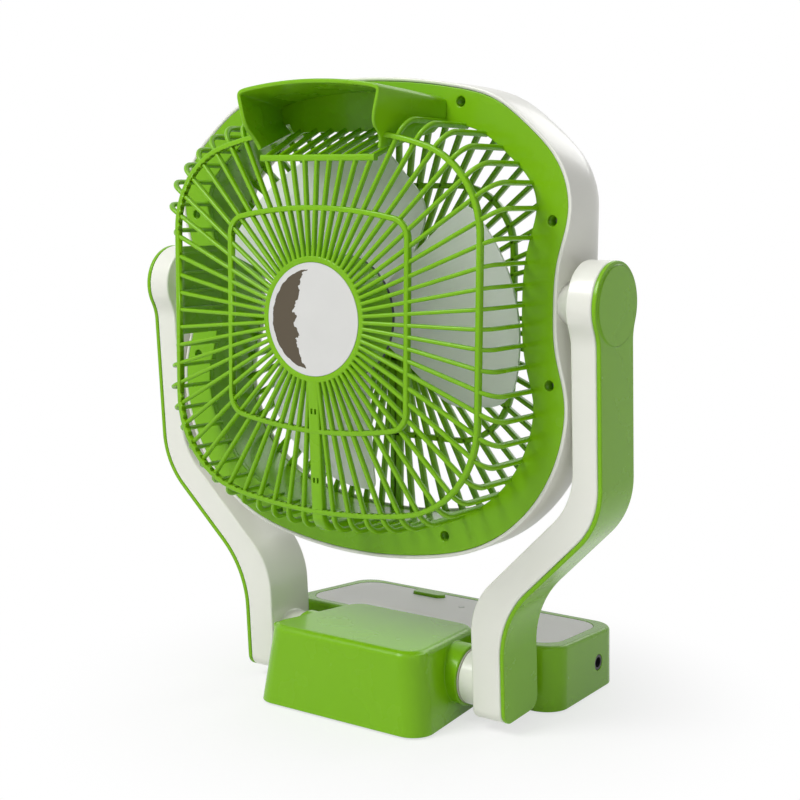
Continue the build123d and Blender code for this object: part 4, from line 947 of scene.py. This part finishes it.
def hood_half(top_half, side_half, foot_half, crown, shoulder, side, foot):
    """Left half of the hood's outside section, from its foot round to its crown."""
    foot_steps, side_steps, crown_steps = 12, 16, 24
    corner_easings = 8
    rise = crown - shoulder
    radius = (top_half ** 2 + rise ** 2) / (2 * rise)
    middle = crown - radius
    corners = [(foot_half, foot), (side_half, side), (top_half, shoulder)]
    points = []
    for start, end, steps in zip(corners, corners[1:], (foot_steps, side_steps)):
        for i in range(steps):
            points.append(tuple(a + (b - a) * i / steps for a, b in zip(start, end)))
    for i in range(crown_steps + 1):
        x = top_half * (1 - i / crown_steps)
        points.append((x, middle + (radius ** 2 - x ** 2) ** 0.5))
    # Ease the corners, and keep both ends where they are
    for easing in range(corner_easings):
        points = [points[0]] + [
            tuple((a + 2 * b + c) / 4 for a, b, c in zip(before, point, after))
            for before, point, after in zip(points, points[1:], points[2:])
        ] + [points[-1]]
    return [(x, fan_axis_z + z) for x, z in points]


root_half = hood_half(
    top_half=0.054, side_half=0.054, foot_half=0.0465, crown=0.117, shoulder=0.1105, side=0.100, foot=0.0935,
)
mouth_half = hood_half(
    top_half=0.0458, side_half=0.0400, foot_half=0.0365, crown=0.119, shoulder=0.115, side=0.093, foot=0.082,
)
root_line = root_half + [(-x, z) for x, z in root_half[-2::-1]]
mouth_line = mouth_half + [(-x, z) for x, z in mouth_half[-2::-1]]
hood_depth = hood_mouth_y - hood_root_y
hood_steps = 12
mouth_nearings = 12
hood_rows = []
for (root_x, root_z), (mouth_x, mouth_z) in zip(root_line, mouth_line):
    end = 1.0
    for nearing in range(mouth_nearings):
        end = (mouth_y(root_z + (mouth_z - root_z) * end) - hood_root_y) / hood_depth
    hood_rows.append([
        (root_x + (mouth_x - root_x) * t, hood_root_y + hood_depth * t, root_z + (mouth_z - root_z) * t)
        for t in (end * i / hood_steps for i in range(hood_steps + 1))
    ])
hood = woven("carry_hood", hood_rows, lime, closed=False)
hood_skin = hood.modifiers.new("wall", "SOLIDIFY")
hood_skin.thickness = hood_wall
hood_skin.offset = -1
hood_skin.use_even_offset = True
round_edges(hood, width=0.0007, steps=3, angle=50.0)
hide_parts("carry_handle")
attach(hood, "head")

# Label disc: a bare silver foil in the shallow seat at the rear of the motor cup.
# It is stuck down, and scuffed grey-brown on one side.
foil = finish("silver_label_foil", (0.62, 0.62, 0.60), (0.67, 0.67, 0.65), 0.42, flow=60.0)


def scuffed(surface, worn_colour, edge_x, bow, reach):
    """Wear one side of a disc on the fan's axis down to another colour, inside a ragged line."""
    ragged_scale = 190.0
    ragged_detail = 3.0
    ragged_reach = 0.012
    rim_raggedness = 0.2
    tree = surface.node_tree
    shader = shader_of(surface)
    plain = shader.inputs["Base Color"].links[0].from_socket

    def reckon(operation, *values):
        """One step of arithmetic on sockets and numbers."""
        step = tree.nodes.new("ShaderNodeMath")
        step.operation = operation
        for socket, value in zip(step.inputs, values):
            if isinstance(value, float):
                socket.default_value = value
            else:
                tree.links.new(value, socket)
        return step.outputs[0]

    place = tree.nodes.new("ShaderNodeTexCoord")
    parts = tree.nodes.new("ShaderNodeSeparateXYZ")
    ragged = tree.nodes.new("ShaderNodeTexNoise")
    ragged.inputs["Scale"].default_value = ragged_scale
    ragged.inputs["Detail"].default_value = ragged_detail
    tree.links.new(place.outputs["Object"], parts.inputs[0])
    tree.links.new(place.outputs["Object"], ragged.inputs["Vector"])
    stray = reckon("MULTIPLY", reckon("SUBTRACT", ragged.outputs["Fac"], 0.5), ragged_reach)
    across = reckon("ADD", parts.outputs["X"], stray)
    height = reckon("SUBTRACT", parts.outputs["Z"], fan_axis_z)
    line = reckon("ADD", across, reckon("MULTIPLY", reckon("MULTIPLY", height, height), bow))
    inside = reckon("GREATER_THAN", line, edge_x)
    far = reckon("SQRT", reckon("ADD", reckon("MULTIPLY", parts.outputs["X"], parts.outputs["X"]),
                                reckon("MULTIPLY", height, height)))
    kept = reckon("LESS_THAN", reckon("ADD", far, reckon("MULTIPLY", stray, rim_raggedness)), reach)
    blend = tree.nodes.new("ShaderNodeMix")
    blend.data_type = "RGBA"
    blend.inputs["B"].default_value = (*worn_colour, 1)
    tree.links.new(reckon("MULTIPLY", inside, kept), blend.inputs["Factor"])
    tree.links.new(plain, blend.inputs["A"])
    tree.links.new(blend.outputs["Result"], shader.inputs["Base Color"])


scuffed(foil, worn_colour=(0.075, 0.056, 0.030), edge_x=0.011, bow=9.5, reach=0.0258)
softened("label_disc", "label_foil", foil, "head", width=0.0001, steps=1)

# Motor: a steel can on a plate at the mouth of the cup, with bronze bushes for its shaft. The plate's near-black
# colour is painted shade for the shadow deep in the cup.
# Three small screws hold the plate to the cup's posts.
# The plate's near-black colour is painted shade, standing in for the shadow inside the motor cup.
painted_shade_plate = finish("painted_shade_plate_finish", (0.02, 0.022, 0.024), (0.03, 0.032, 0.034), 0.4)
bronze = finish("sintered_bronze", (0.42, 0.27, 0.10), (0.36, 0.22, 0.08), 0.45, flow=400.0, metallic=1.0)
softened("motor_plate", "motor_mount", painted_shade_plate, "head", width=0.0003, steps=2)
softened("plate_screws", "mount_screws", zinc, "head", width=0.0002, steps=2)
painted("motor_body", zinc)
painted("front_bush", bronze)
painted("rear_bush", bronze)

# Fan: three wide milky blades moulded on one hub, pushed on the steel shaft and held by a black nut.
# Light from the front guard shows through them.
milky = finish("milky_blade_plastic", (0.89, 0.92, 0.89), (0.93, 0.95, 0.93), 0.34, flow=25.0)
shader_of(milky).inputs["Transmission Weight"].default_value = 0.15
softened("fan_blades", "blades", milky, "rotor", width=0.0004, steps=2)
softened("spinner_nut", "hub_nut", black_moulding, "rotor", width=0.0005, steps=2)
painted("motor_shaft", zinc)
